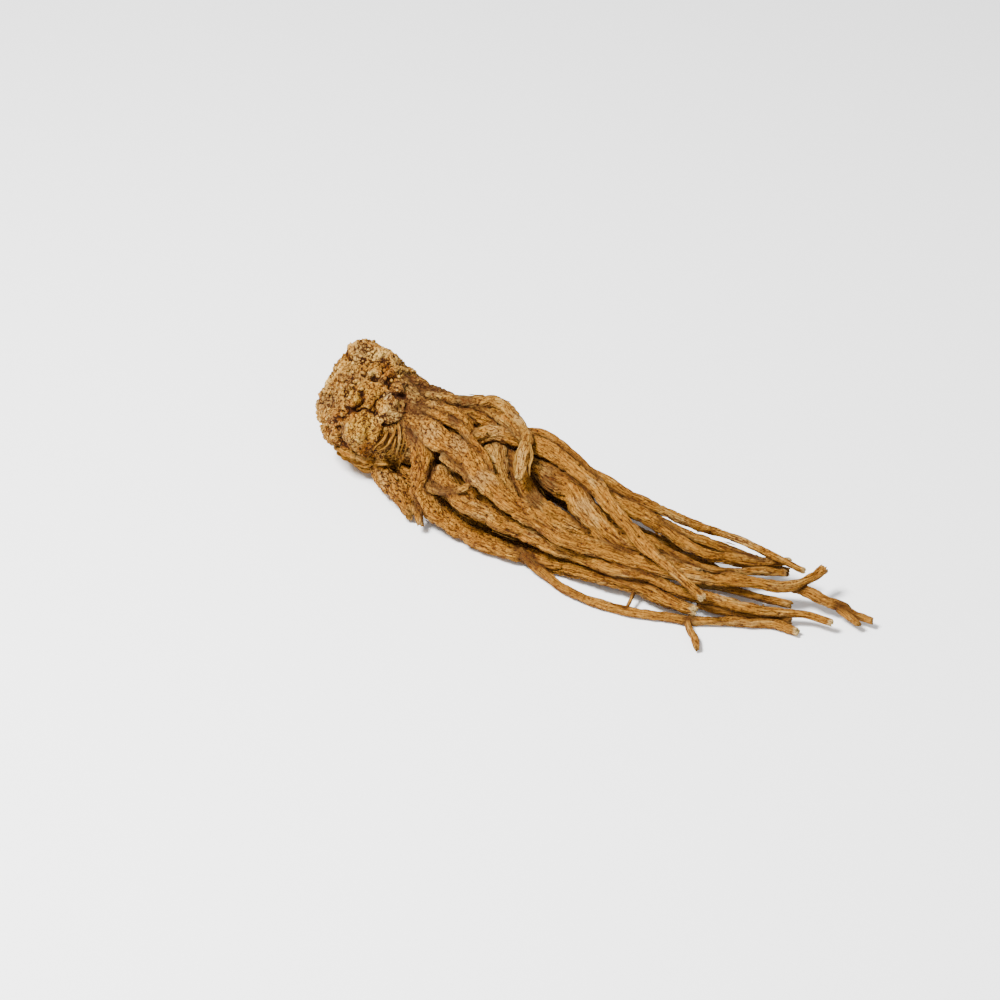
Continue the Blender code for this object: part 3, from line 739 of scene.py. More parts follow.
def make_rootlet(name, rootlet):
    """A rootlet's skin: wrinkled bark on its sides and a broken end at its tip."""
    tip = float(rootlet.radii[-1])
    body = np.arange(FIRST_RING, rootlet.length - 0.5 * tip, RING_GAP)
    stops = np.concatenate([[0.0, 0.0], body, rootlet.length - tip * np.array(END_BEFORE)])
    reach = np.concatenate([[0.0, START_REACH], np.ones(len(body)), END_REACH])
    is_end = np.concatenate([[0.0, 0.0], np.zeros(len(body)), END_BROKEN])
    widest = float(np.max(rootlet.radii))
    sides = int(np.clip(math.tau * widest / SIDE_GAP, LEAST_SIDES, MOST_SIDES))

    mesh, along, across = grid_sheet(name, len(stops) - 1, sides)
    ring = np.rint(along * (len(stops) - 1)).astype(int)
    angle = math.tau * across
    where = np.minimum(stops[ring], rootlet.length)
    beyond = stops[ring] - where
    radius = rootlet.at(rootlet.radii, where)
    out = (
        np.cos(angle)[:, None] * rootlet.at(rootlet.sides, where)
        + np.sin(angle)[:, None] * rootlet.at(rootlet.ups, where)
    )
    middle = rootlet.at(rootlet.line, where)
    crumbly = np.clip((CRUMBLY_TO - middle[:, 0]) / (CRUMBLY_TO - CRUMBLY_FROM), 0.0, 1.0)
    plain = middle + out * radius[:, None]
    relief, raised = bark_relief(rootlet, angle, where, radius, plain, crumbly)
    near_tip = np.clip((where - rootlet.length + 2.0 * tip) / (2.0 * tip), 0.0, 1.0)
    ragged_place = np.stack([np.cos(angle) * 2.2, np.sin(angle) * 2.2, reach[ring] * 2.0], axis=1)
    ragged = RAGGED_END * tip * near_tip * (soft(ragged_place, rootlet.seed + 8) - 0.3)
    places = (
        middle
        + out * ((radius + relief) * reach[ring])[:, None]
        + rootlet.at(rootlet.ways, where) * (ragged * (reach[ring] > 0.0) + beyond)[:, None]
    )
    set_places(mesh, places)
    fibre = np.stack([np.cos(angle) * radius, np.sin(angle) * radius, where], axis=1)
    add_vector(mesh, "fibre", fibre + rootlet.seed * 31.0)
    add_value(mesh, "raised", raised)
    add_value(mesh, "crumbly", LEAST_CRUMBLY + (1.0 - LEAST_CRUMBLY) * crumbly)
    faded = 0.75 * np.clip(1.0 - (rootlet.length - where) / PALE_END, 0.0, 1.0)
    paleness = 1.0 if name in PALE_ENDED else DULL_END
    add_value(mesh, "broken", paleness * np.maximum(is_end[ring], faded))
    add_stains_and_shade(mesh, places)
    return mesh, places


def shade_near(mesh, places, balls):
    """Marks the skin that lies close to the balls, which stand for what is beside it."""
    low = places.min(axis=0) - 2.0 * NEAR
    high = places.max(axis=0) + 2.0 * NEAR
    reach = balls[:, 3:4]
    close = balls[np.all((balls[:, :3] + reach > low) & (balls[:, :3] - reach < high), axis=1)]
    gap = np.full(len(places), NEAR)
    for start in range(0, len(close), BALLS_AT_ONCE):
        some = close[start : start + BALLS_AT_ONCE]
        away = np.linalg.norm(places[:, None, :] - some[None, :, :3], axis=2) - some[:, 3]
        gap = np.minimum(gap, away.min(axis=1))
    add_value(mesh, "near", np.clip(1.0 - gap / NEAR, 0.0, 1.0))


def balls_of(rootlet):
    """Balls along a rootlet's line, as rows of a place and a radius."""
    stops = np.arange(0.0, rootlet.length, NEAR_STEP)
    return np.column_stack([rootlet.at(rootlet.line, stops), rootlet.at(rootlet.radii, stops)])


def swell_towards(directions, centre, spread):
    """One at the middle of a knob, falling to nothing at its spread."""
    centre = np.array(centre) / np.linalg.norm(centre)
    angle = np.degrees(np.arccos(np.clip(directions @ centre, -1.0, 1.0)))
    return np.exp(-2.0 * (angle / spread) ** 2)


def crown_reach(directions):
    """How far the crown's main form is from its centre in each direction."""
    reach = np.full(len(directions), CROWN_RADIUS)
    for centre, spread, height in CROWN_KNOBS:
        reach += height * swell_towards(directions, centre, spread)
    for centre, spread, depth in CROWN_HOLLOWS:
        reach -= depth * swell_towards(directions, centre, spread)
    along = directions[:, 0] * CROWN_RADIUS
    towards_neck = np.clip((along + 4.0) / 14.0, 0.0, 1.0)
    reach += SHEATH_RIDGE * towards_neck * np.sin(math.tau * along / SHEATH_PITCH)
    from_tip = np.degrees(np.arccos(np.clip(-directions[:, 0], -1.0, 1.0)))
    fade = np.clip(1.0 - from_tip / SCAR_RING_REACH, 0.0, 1.0)
    reach += SCAR_RING * fade * np.sin(math.tau * from_tip / SCAR_RING_PITCH)
    size = CROWN_RADIUS / CROWN_GRAIN_SIZE
    grain = [
        noise.noise(Vector(way) * size) + 0.5 * noise.noise(Vector(way) * size * 2.1)
        for way in directions
    ]
    return reach + CROWN_GRAIN * np.array(grain)


def camera_axes():
    """The camera's right, its up, and the way back towards it."""
    azimuth = math.radians(CAMERA_AZIMUTH)
    elevation = math.radians(CAMERA_ELEVATION)
    right = np.array((math.cos(azimuth), math.sin(azimuth), 0.0))
    back = np.array(
        (
            math.sin(azimuth) * math.cos(elevation),
            -math.cos(azimuth) * math.cos(elevation),
            math.sin(elevation),
        )
    )
    return right, np.cross(back, right), back


def seen_from_camera(places):
    """How far right of, above and in front of the crown's centre each place shows."""
    right, up, back = camera_axes()
    offset = places - CROWN_CENTRE
    return offset @ right, offset @ up, offset @ back


def bosses_and_crevices(places):
    """How far each place stands out on a boss, and how deep it is in a crevice or a pit."""
    across, above, facing = seen_from_camera(places)
    front = facing > 0.0
    bossed = np.zeros(len(places))
    crevice = np.zeros(len(places))
    outline = 1.0 + 0.32 * soft(places / 3.5, 50) + 0.12 * soft(places / 1.3, 51)
    for right_of, higher, radius, height in CROWN_BOSSES:
        away = np.hypot(across - right_of, above - higher) / radius * outline
        dome = np.sqrt(np.clip(1.0 - away**2, 0.0, 1.0)) * height
        bossed = np.maximum(bossed, np.where(front, dome, 0.0))
        beside = (away - BOSS_FURROW_PLACE) * radius / BOSS_FURROW_WIDTH
        crevice += np.where(front, np.exp(-(beside**2)), 0.0)
    crevice *= np.clip(soft(places / 3.0, 52) * 1.5 + 0.9, 0.15, 1.4)
    for right_of, higher, radius, depth in CROWN_PITS:
        away = np.hypot(across - right_of, above - higher) / radius
        crevice += np.where(front, depth * np.exp(-(away**2) * 1.5), 0.0)
    return bossed, np.clip(crevice, 0.0, 1.6) * np.clip(1.0 - bossed * 0.5, 0.2, 1.0)


def crown_relief(places):
    """Bosses, crumbs and pits on the crown, and ridged bark where it narrows to the neck."""
    bent = places + uneven(places / 3.2, 40)
    to_neck = np.clip((places[:, 0] - CROWN_CENTRE[0] - 5.0) / 12.0, 0.0, 1.0)
    crumbly = 1.0 - to_neck
    bossed, crevice = bosses_and_crevices(places)
    coarse = crumbs(bent / COARSE_CRUMB_PITCH, 3)
    fine = crumbs(bent / FINE_CRUMB_PITCH, 4)
    specks = soft(bent / SPECK_PITCH, 5)
    lumps = soft(bent / CROWN_LUMP_PITCH, 53)
    cracks = furrow(bent / CROWN_CRACK_PITCH, 6, 5.0)
    cracks *= np.clip(soft(places / 5.0, 8) + 0.6, 0.1, 1.0)
    rough = np.clip(1.0 + 1.1 * soft(places / 4.2, 54), 0.35, 1.6)
    ridges = furrow(places / NECK_RIDGE_PITCH, 7, 3.0)
    small_ridges = furrow(places / SMALL_RIDGE_PITCH, 9, 2.5)
    relief = crumbly * (
        COARSE_CRUMB_DEPTH * (coarse - 0.7)
        + CROWN_LUMP_DEPTH * lumps
        + CROWN_CRACK_DEPTH * cracks
        + rough * (FINE_CRUMB_DEPTH * (fine - 0.6) + SPECK_DEPTH * specks)
    )
    relief += to_neck * (
        NECK_RIDGE_DEPTH * ridges + SMALL_RIDGE_DEPTH * small_ridges + 0.2 * specks
    )
    relief += bossed - BOSS_FURROW * crevice
    raised = 0.6 + crumbly * (
        0.2 * (coarse - 0.7) + 0.35 * lumps + 0.55 * cracks
        + rough * (0.5 * (fine - 0.7) + 0.3 * specks)
    )
    # crevices round the bosses, and the pits, lower this, so that the colour paints shade in them
    raised += to_neck * (0.55 * ridges + 0.4 * small_ridges + 0.2 * specks) - 0.95 * crevice
    return relief, raised


def add_stains_and_shade(mesh, places):
    """Marks how far each place lies within each kind of stain, and within the painted shade of
    pits and hollows; their edges are uneven.
    """
    across, above, _ = seen_from_camera(places)
    edge = 0.45 * soft(places / 2.6, 61) + 0.3 * soft(places / 1.1, 62)
    for name, spots in STAINS_AND_SHADE.items():
        share = np.zeros(len(places))
        for right_of, higher, radius in spots:
            away = np.hypot(across - right_of, above - higher) / radius + edge
            share = np.maximum(share, np.clip(1.6 - 1.3 * away, 0.0, 1.0))
        add_value(mesh, name, share)


def crown_surface(directions):
    """Places on the crown's finished skin in each direction, and how raised each is."""
    plain = CROWN_CENTRE + directions * crown_reach(directions)[:, None]
    relief, raised = crown_relief(plain)
    return plain + directions * relief[:, None], raised


def make_crown():
    """The crown's skin: crumbs, pits and layered leaf bases on its main form."""
    shape = bmesh.new()
    bmesh.ops.create_uvsphere(
        shape, u_segments=CROWN_SEGMENTS, v_segments=CROWN_RINGS, radius=1.0
    )
    mesh, corners = finished_mesh("crown", shape)
    turned = corners[:, (2, 0, 1)]
    directions = turned / np.linalg.norm(turned, axis=1)[:, None]
    places, raised = crown_surface(directions)
    set_places(mesh, places)
    add_value(mesh, "raised", raised)
    add_stains_and_shade(mesh, places)
    return mesh, places


def crown_line(view_line):
    """A line on the crown through places that the camera sees, with its outward ways."""
    right, up, back = camera_axes()
    seen = follow_route([(across, above, 0.0) for across, above in view_line])
    flat = seen[:, :1] * right + seen[:, 1:2] * up
    reach = np.full(len(seen), CROWN_RADIUS)
    for _ in range(8):
        forward = np.sqrt(np.clip(reach**2 - np.sum(flat**2, axis=1), 4.0, None))
        offsets = flat + forward[:, None] * back
        directions = offsets / np.linalg.norm(offsets, axis=1)[:, None]
        reach = crown_reach(directions)
    places, _ = crown_surface(directions)
    half = LINE_SMOOTHING // 2
    padded = np.pad(places, ((half, half), (0, 0)), mode="edge")
    even = np.ones(LINE_SMOOTHING) / LINE_SMOOTHING
    smooth = [np.convolve(padded[:, k], even, "valid") for k in range(3)]
    return np.stack(smooth, axis=1), directions


def facing_camera(line):
    """The way to the camera, for each place on a line."""
    return np.tile(camera_axes()[2], (len(line), 1))


def sweep(line, normals, half_wide, half_high, sides):
    """A closed skin round a line, with how far along it each corner is and its angle round it."""
    ways = np.gradient(line, axis=0)
    ways /= np.linalg.norm(ways, axis=1)[:, None]
    normals = normals - ways * np.sum(normals * ways, axis=1)[:, None]
    normals /= np.linalg.norm(normals, axis=1)[:, None]
    across = np.cross(ways, normals)
    mesh, along, around = grid_sheet("strip", len(line) - 1, sides)
    ring = np.rint(along * (len(line) - 1)).astype(int)
    angle = math.tau * around
    places = (
        line[ring]
        + across[ring] * (np.cos(angle) * half_wide[ring])[:, None]
        + normals[ring] * (np.sin(angle) * half_high[ring])[:, None]
    )
    return mesh, along, angle, places


def tapered(line, power):
    """Full thickness along the middle of a line, and nothing at both ends."""
    taper = np.sin(math.pi * np.linspace(0.0, 1.0, len(line))) ** power
    taper[0] = taper[-1] = 0.0
    return taper


def add_cluster(name, parts, material, crumbly=0.0):
    """Joins swept parts into one piece; a part is its mesh, places, grain and how raised it is."""
    shape = bmesh.new()
    for mesh, places, _, _ in parts:
        set_places(mesh, places)
        shape.from_mesh(mesh)
        bpy.data.meshes.remove(mesh)
    whole, corners = finished_mesh(name, shape)
    add_vector(whole, "fibre", np.vstack([part[2] for part in parts]))
    add_value(whole, "raised", np.concatenate([part[3] for part in parts]))
    add_value(whole, "crumbly", np.full(len(corners), crumbly))
    close_skin(whole)
    return add_piece(whole, material)


def swept_part(line, normals, half_wide, half_high, sides, seed, rough=0.12, tone=0.75):
    """One strip, ridge, sliver or fibre, slightly uneven."""
    mesh, along, angle, places = sweep(line, normals, half_wide, half_high, sides)
    thick = (half_wide + half_high)[np.rint(along * (len(line) - 1)).astype(int)]
    places = places + uneven(places / 1.6, seed) * (rough * np.minimum(thick, 1.0))[:, None]
    length = float(np.sum(np.linalg.norm(np.diff(line, axis=0), axis=1)))
    fibre = np.stack([np.cos(angle), np.sin(angle), along * length], axis=1) + seed * 17.0
    # the side towards the normals, outward or towards the camera, is painted lighter and the far
    # side darker: painted light and shade, darkest at a strip's base
    raised = tone + 0.25 * soft(places / 0.9, seed + 5) + 0.4 * np.sin(angle)
    return mesh, places, fibre, raised


def add_leaf_strips(material):
    """Dry strips of old leaf bases on edge, and the ridges of the collar below them."""
    parts = []
    for seed, view_line in enumerate(LEAF_STRIPS, start=60):
        line, ways_out = crown_line(view_line)
        taper = tapered(line, 0.6)
        waves = 1.0 + 0.25 * soft(line / 2.0, seed)
        parts.append(
            swept_part(line + STRIP_LIFT * ways_out, ways_out, STRIP_HALF_WIDTH * taper,
                       STRIP_HALF_HEIGHT * taper * waves, sides=10, seed=seed, rough=0.3)
        )
    for seed, view_line in enumerate(COLLAR_RIDGES, start=80):
        line, ways_out = crown_line(view_line)
        taper = tapered(line, 0.4)
        parts.append(
            swept_part(line + COLLAR_LIFT * ways_out, ways_out, COLLAR_HALF_WIDTH * taper,
                       COLLAR_HALF_HEIGHT * taper, sides=16, seed=seed, rough=0.35)
        )
    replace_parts(add_cluster("leaf_strips", parts, material, 0.3), NODE)


def add_arch_skin(material):
    line = follow_route(ARCH_SKIN)
    taper = tapered(line, 0.5)
    part = swept_part(line, facing_camera(line), ARCH_SKIN_HALF_WIDTH * taper,
                      ARCH_SKIN_HALF_HEIGHT * taper, sides=20, seed=90, rough=0.5, tone=0.35)
    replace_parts(add_cluster("arch_skin", [part], material, 1.0), NODE)


def add_torn_strips(material):
    parts = []
    for seed, route in enumerate(TORN_STRIPS, start=92):
        line = follow_route(route)
        taper = tapered(line, 0.45)
        parts.append(
            swept_part(line, facing_camera(line), TORN_STRIP_HALF_WIDTH * taper,
                       TORN_STRIP_HALF_HEIGHT * taper, sides=14, seed=seed, rough=0.55, tone=0.9)
        )
    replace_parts(add_cluster("torn_strips", parts, material, 0.2), NODE)


def lifted_line(rootlet, draw, length, lift, count):
    """A line that starts on a rootlet's skin, follows it and lifts off at its free end."""
    start = draw.uniform(0.08, 0.88) * rootlet.length
    angle = draw.uniform(0.0, math.tau)
    drift = draw.uniform(-0.5, 0.5)
    share = np.linspace(0.0, 1.0, count)
    where = np.clip(start + share * length, 0.0, rootlet.length)
    turn = angle + drift * share
    out = (
        np.cos(turn)[:, None] * rootlet.at(rootlet.sides, where)
        + np.sin(turn)[:, None] * rootlet.at(rootlet.ups, where)
    )
    high = rootlet.at(rootlet.radii, where) * 1.02 + lift * share**2
    return rootlet.at(rootlet.line, where) + out * high[:, None], out


def add_hairs(rootlets, material):
    """Fine broken fibres: a few long ones by the crown, and short ones all along."""
    draw = np.random.default_rng(5)
    parts = []
    for seed, route in enumerate(LONG_FIBRES, start=100):
        line = follow_route(route)[::3]
        width = FIBRE_HALF_WIDTH * tapered(line, 0.4)
        parts.append(swept_part(line, facing_camera(line), width, width, sides=5, seed=seed))
    for seed in range(200, 200 + HAIRS):
        rootlet = rootlets[draw.integers(len(rootlets))]
        length = draw.uniform(*HAIR_LENGTHS)
        line, out = lifted_line(rootlet, draw, length, draw.uniform(*HAIR_LIFTS), 9)
        width = draw.uniform(*HAIR_HALF_WIDTHS) * tapered(line, 0.4)
        parts.append(swept_part(line, out, width, width, sides=4, seed=seed))
    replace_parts(add_cluster("dry_fibres", parts, material), NODE)


def add_slivers(rootlets, material):
    """Flakes of bark that peel off the rootlets at one end."""
    draw = np.random.default_rng(8)
    parts = []
    for seed in range(400, 400 + SLIVERS):
        rootlet = rootlets[draw.integers(len(rootlets))]
        length = draw.uniform(*SLIVER_LENGTHS)
        line, out = lifted_line(rootlet, draw, length, draw.uniform(*SLIVER_LIFTS), 9)
        taper = tapered(line, 0.5)
        wide = draw.uniform(*SLIVER_HALF_WIDTHS) * taper
        high = SLIVER_HALF_HEIGHT * taper
        parts.append(swept_part(line, out, wide, high, sides=6, seed=seed, rough=0.3))
    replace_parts(add_cluster("bark_slivers", parts, material, 0.4), NODE)


def add_crumbs(name, places, ways_out, sizes, material):
    """Loose-looking crumbs that are sunk a little into what they sit on."""
    shape = bmesh.new()
    for place, way, size in zip(places, ways_out, sizes):
        centre = Vector(place + way * size * 0.2)
        bmesh.ops.create_icosphere(
            shape, subdivisions=2, radius=size, matrix=Matrix.Translation(centre)
        )
    mesh, corners = finished_mesh(name, shape)
    corners = corners + CRUMB_UNEVENNESS * uneven(corners / 0.8, 70)
    set_places(mesh, corners)
    add_value(mesh, "raised", 0.75 + 0.4 * soft(corners / 0.7, 75))
    add_value(mesh, "crumbly", np.ones(len(corners)))
    add_vector(mesh, "fibre", corners)
    mesh.shade_smooth()
    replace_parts(add_piece(mesh, material), NODE)


def add_crown_crumbs(material):
    draw = np.random.default_rng(12)
    directions = draw.normal(size=(CROWN_CRUMBS, 3))
    directions[:, 0] -= 0.35
    directions /= np.linalg.norm(directions, axis=1)[:, None]
    sizes = draw.uniform(*CROWN_CRUMB_SIZES, CROWN_CRUMBS)
    sizes = sizes * draw.uniform(0.7, 1.2, CROWN_CRUMBS)
    places, _ = crown_surface(directions)
    add_crumbs("crown_crumbs", places, directions, sizes, material)


def add_bark_crumbs(rootlets, material):
    draw = np.random.default_rng(14)
    places = []
    ways_out = []
    for _ in range(BARK_CRUMBS):
        rootlet = rootlets[draw.integers(len(rootlets))]
        line, out = lifted_line(rootlet, draw, 2.0, 0.0, 3)
        places.append(line[0])
        ways_out.append(out[0])
    sizes = draw.uniform(*BARK_CRUMB_SIZES, BARK_CRUMBS)
    add_crumbs("bark_crumbs", places, ways_out, sizes, material)


def make_node(tree, kind, label, **settings):
    node = tree.nodes.new(kind)
    node.label = label
    for key, value in settings.items():
        setattr(node, key, value)
    return node


def ramp_node(tree, label, stops):
    """A colour ramp through (place, colour) stops."""
    node = make_node(tree, "ShaderNodeValToRGB", label)
    ramp = node.color_ramp
    while len(ramp.elements) < len(stops):
        ramp.elements.new(0.5)
    for element, (place, colour) in zip(ramp.elements, stops):
        element.position = place
        element.color = (*colour, 1.0)
    return node


def stretched(tree, label, vector, stretch):
    """Coordinates with each axis scaled."""
    place = make_node(tree, "ShaderNodeMapping", label + " place")
    place.inputs["Scale"].default_value = stretch
    tree.links.new(vector, place.inputs["Vector"])
    return place.outputs["Vector"]


def noise_node(tree, label, vector, scale, detail, roughness, stretch=(1, 1, 1)):
    """Noise on stretched coordinates."""
    place = stretched(tree, label, vector, stretch)
    node = make_node(tree, "ShaderNodeTexNoise", label)
    node.inputs["Scale"].default_value = scale
    node.inputs["Detail"].default_value = detail
    node.inputs["Roughness"].default_value = roughness
    tree.links.new(place, node.inputs["Vector"])
    return node.outputs["Fac"]


def connect(tree, socket, value):
    """Gives a socket its value: another socket, a colour or a number."""
    if isinstance(value, bpy.types.NodeSocket):
        tree.links.new(value, socket)
    elif isinstance(value, tuple):
        socket.default_value = (*value, 1.0)
    else:
        socket.default_value = value


def colour_mix(tree, label, factor, first, second):
    node = make_node(tree, "ShaderNodeMix", label, data_type="RGBA")
    for number, value in ((0, factor), (6, first), (7, second)):
        connect(tree, node.inputs[number], value)
    return node.outputs[2]


def number_mix(tree, label, factor, first, second):
    node = make_node(tree, "ShaderNodeMix", label, data_type="FLOAT")
    for number, value in ((0, factor), (2, first), (3, second)):
        connect(tree, node.inputs[number], value)
    return node.outputs[0]


def maths(tree, operation, first, second):
    node = make_node(tree, "ShaderNodeMath", operation.lower(), operation=operation)
    connect(tree, node.inputs[0], first)
    connect(tree, node.inputs[1], second)
    return node.outputs[0]


def weighed(tree, first, first_weight, second, second_weight):
    """The sum of two values, each with its weight."""
    return maths(tree, "ADD", maths(tree, "MULTIPLY", first, first_weight),
                 maths(tree, "MULTIPLY", second, second_weight))


def tinted(tree, colour, layers):
    """Lays tints over a colour in turn; a layer is a label, where it is, its most and its tint."""
    for label, where, most, tint in layers:
        colour = colour_mix(tree, label, maths(tree, "MULTIPLY", where, most), colour, tint)
    return colour


def spread_out(tree, label, value, low, high):
    """A value's stretch from low to high, as 0 to 1."""
    node = make_node(tree, "ShaderNodeMapRange", label, clamp=True)
    node.inputs["From Min"].default_value = low
    node.inputs["From Max"].default_value = high
    tree.links.new(value, node.inputs["Value"])
    return node.outputs["Result"]


def plates(tree, label, vector, stretch, width):
    """Plates of bark with thin cracks between them: 0 in a crack and 1 on a plate."""
    place = stretched(tree, label, vector, stretch)
    stray = make_node(tree, "ShaderNodeTexNoise", label + " stray")
    stray.inputs["Scale"].default_value = PLATE_STRAY_SCALE
    stray.inputs["Detail"].default_value = 2.0
    tree.links.new(place, stray.inputs["Vector"])
    moved = make_node(tree, "ShaderNodeVectorMath", label + " moved", operation="MULTIPLY_ADD")
    tree.links.new(stray.outputs["Color"], moved.inputs[0])
    moved.inputs[1].default_value = PLATE_STRAY
    tree.links.new(place, moved.inputs[2])
    node = make_node(tree, "ShaderNodeTexVoronoi", label, feature="DISTANCE_TO_EDGE")
    node.inputs["Scale"].default_value = 1.0
    tree.links.new(moved.outputs["Vector"], node.inputs["Vector"])
    return spread_out(tree, label, node.outputs["Distance"], 0.0, width)


def attribute(tree, name, output="Fac"):
    """A value that the mesh's corners carry."""
    node = make_node(tree, "ShaderNodeAttribute", name, attribute_name=name)
    return node.outputs[output]


def start_material(name, roughness):
    material = bpy.data.materials.new(name)
    material.use_nodes = True
    shader = material.node_tree.nodes["Principled BSDF"]
    shader.inputs["Roughness"].default_value = roughness
    shader.inputs["Specular IOR Level"].default_value = SHEEN
    return material, material.node_tree, shader


def add_bump(tree, shader, height, distance):
    bump = make_node(tree, "ShaderNodeBump", "fine relief")
    bump.inputs["Strength"].default_value = 1.0
    bump.inputs["Distance"].default_value = distance
    tree.links.new(height, bump.inputs["Height"])
    tree.links.new(bump.outputs["Normal"], shader.inputs["Normal"])


SHEEN = 0.08
BARK_BUMP = 0.0016
CROWN_BUMP = 0.0018
PLATE_STRAY_SCALE = 1.3  # how far the plates' cracks stray from straight, and how often
PLATE_STRAY = (1.1, 1.1, 1.1)
# Bark tones: shadowed, common, pale and broken bark, and where the pale begins.
BARKS = {
    "golden": ((0.22, 0.082, 0.009), (0.29, 0.121, 0.014), (0.45, 0.225, 0.040),
               (0.55, 0.38, 0.15), 0.54),
    "pale": ((0.20, 0.084, 0.012), (0.29, 0.133, 0.020), (0.45, 0.250, 0.056),
             (0.50, 0.34, 0.13), 0.50),
    "brown": ((0.19, 0.069, 0.008), (0.28, 0.116, 0.015), (0.40, 0.195, 0.034),
              (0.36, 0.20, 0.05), 0.56),
}
# reddish brown of the cracks, laid on more the lower the relief lies: partly the cracks' own
# colour, partly painted shade
CRACK_TONE_AND_SHADE = (0.10, 0.026, 0.002)
# near black where the relief lies deepest: painted shade in furrows, crevices and pits
CREVICE_SHADE = (0.02, 0.005, 0.001)
JOIN_SHADE = (0.05, 0.015, 0.003)
DUSTY = (0.32, 0.20, 0.07)
# dark tone for painted shade in pits and hollows
HOLLOW_SHADE = (0.07, 0.036, 0.012)
GREYED = (0.17, 0.10, 0.032)
WHITISH = (0.50, 0.36, 0.15)
# paler tone for the tops of the crown's grains: a painted highlight
GRAIN_TOP_HIGHLIGHT = (0.58, 0.38, 0.12)
YELLOWED = (0.36, 0.19, 0.02)
RUSTY = (0.22, 0.062, 0.004)
CROWN_TONES = (
    (0.36, (0.21, 0.090, 0.011)), (0.46, (0.34, 0.160, 0.021)),
    (0.54, (0.42, 0.215, 0.038)), (0.66, (0.58, 0.35, 0.084)),
)


def bark_material(name, deep, common, pale, broken_bark, pale_from):
    """Dry, wrinkled bark with fibres along it, and a paler broken end."""
    material, tree, shader = start_material(name, 0.8)
    fibre = attribute(tree, "fibre", "Vector")
    place = make_node(tree, "ShaderNodeTexCoord", "place").outputs["Object"]

    streaks = noise_node(tree, "streaks", fibre, 1.0, 4.0, 0.65, (0.5, 0.5, 0.1))
    patches = noise_node(tree, "patches", fibre, 1.0, 3.0, 0.6, (0.16, 0.16, 0.07))
    specks = noise_node(tree, "specks", place, 900.0, 2.0, 0.8)
    threads = noise_node(tree, "threads", fibre, 1.0, 3.0, 0.75, (1.5, 1.5, 0.15))
    long_lines = plates(tree, "long plates", fibre, (1.0, 1.0, 0.075), 0.17)
    short_lines = plates(tree, "short plates", fibre, (0.66, 0.66, 0.36), 0.18)

    ramp = ramp_node(
        tree, "bark", ((0.38, deep), (0.46, common), (pale_from, common), (0.64, pale))
    )
    tree.links.new(weighed(tree, streaks, 0.45, patches, 0.55), ramp.inputs["Fac"])
    crumbly = attribute(tree, "crumbly")
    fine = number_mix(tree, "fine grain", crumbly, threads, specks)
    lines = number_mix(tree, "wrinkles", crumbly, long_lines, short_lines)
    height = weighed(tree, fine, 1.5, lines, 0.45)
    above = maths(tree, "SUBTRACT", height, 1.08)
    level = weighed(tree, attribute(tree, "raised"), 0.7, above, 2.9)
    dusty = maths(tree, "MAXIMUM", spread_out(tree, "dust", patches, 0.55, 0.66),
                  attribute(tree, "dusted"))
    colour = tinted(tree, ramp.outputs["Color"], (
        ("dust", dusty, 0.45, DUSTY),
        ("grey", attribute(tree, "greyed"), 0.6, GREYED),
        # paler on raised ridges, in the pale bark tone: a painted highlight
        ("ridges", spread_out(tree, "painted ridge highlight", level, 0.55, 1.25), 0.75, pale),
        # darker in pits and hollows: painted shade
        ("hollow shade", attribute(tree, "painted_hollow_shade"), 0.75, HOLLOW_SHADE),
        # reddish-brown cracks where the relief is low: their own colour and partly painted shade
        ("cracks", spread_out(tree, "cracks", level, 0.2, -0.4), 0.85, CRACK_TONE_AND_SHADE),
        # near black in the deepest furrows: painted shade
        ("furrows", spread_out(tree, "furrows", level, -0.3, -1.0), 0.9, CREVICE_SHADE),
        ("joins", maths(tree, "POWER", attribute(tree, "near"), 1.35), 0.75, JOIN_SHADE),
        ("broken end", attribute(tree, "broken"), 1.0, broken_bark),
    ))
    tree.links.new(colour, shader.inputs["Base Color"])
    add_bump(tree, shader, height, BARK_BUMP)
    return material


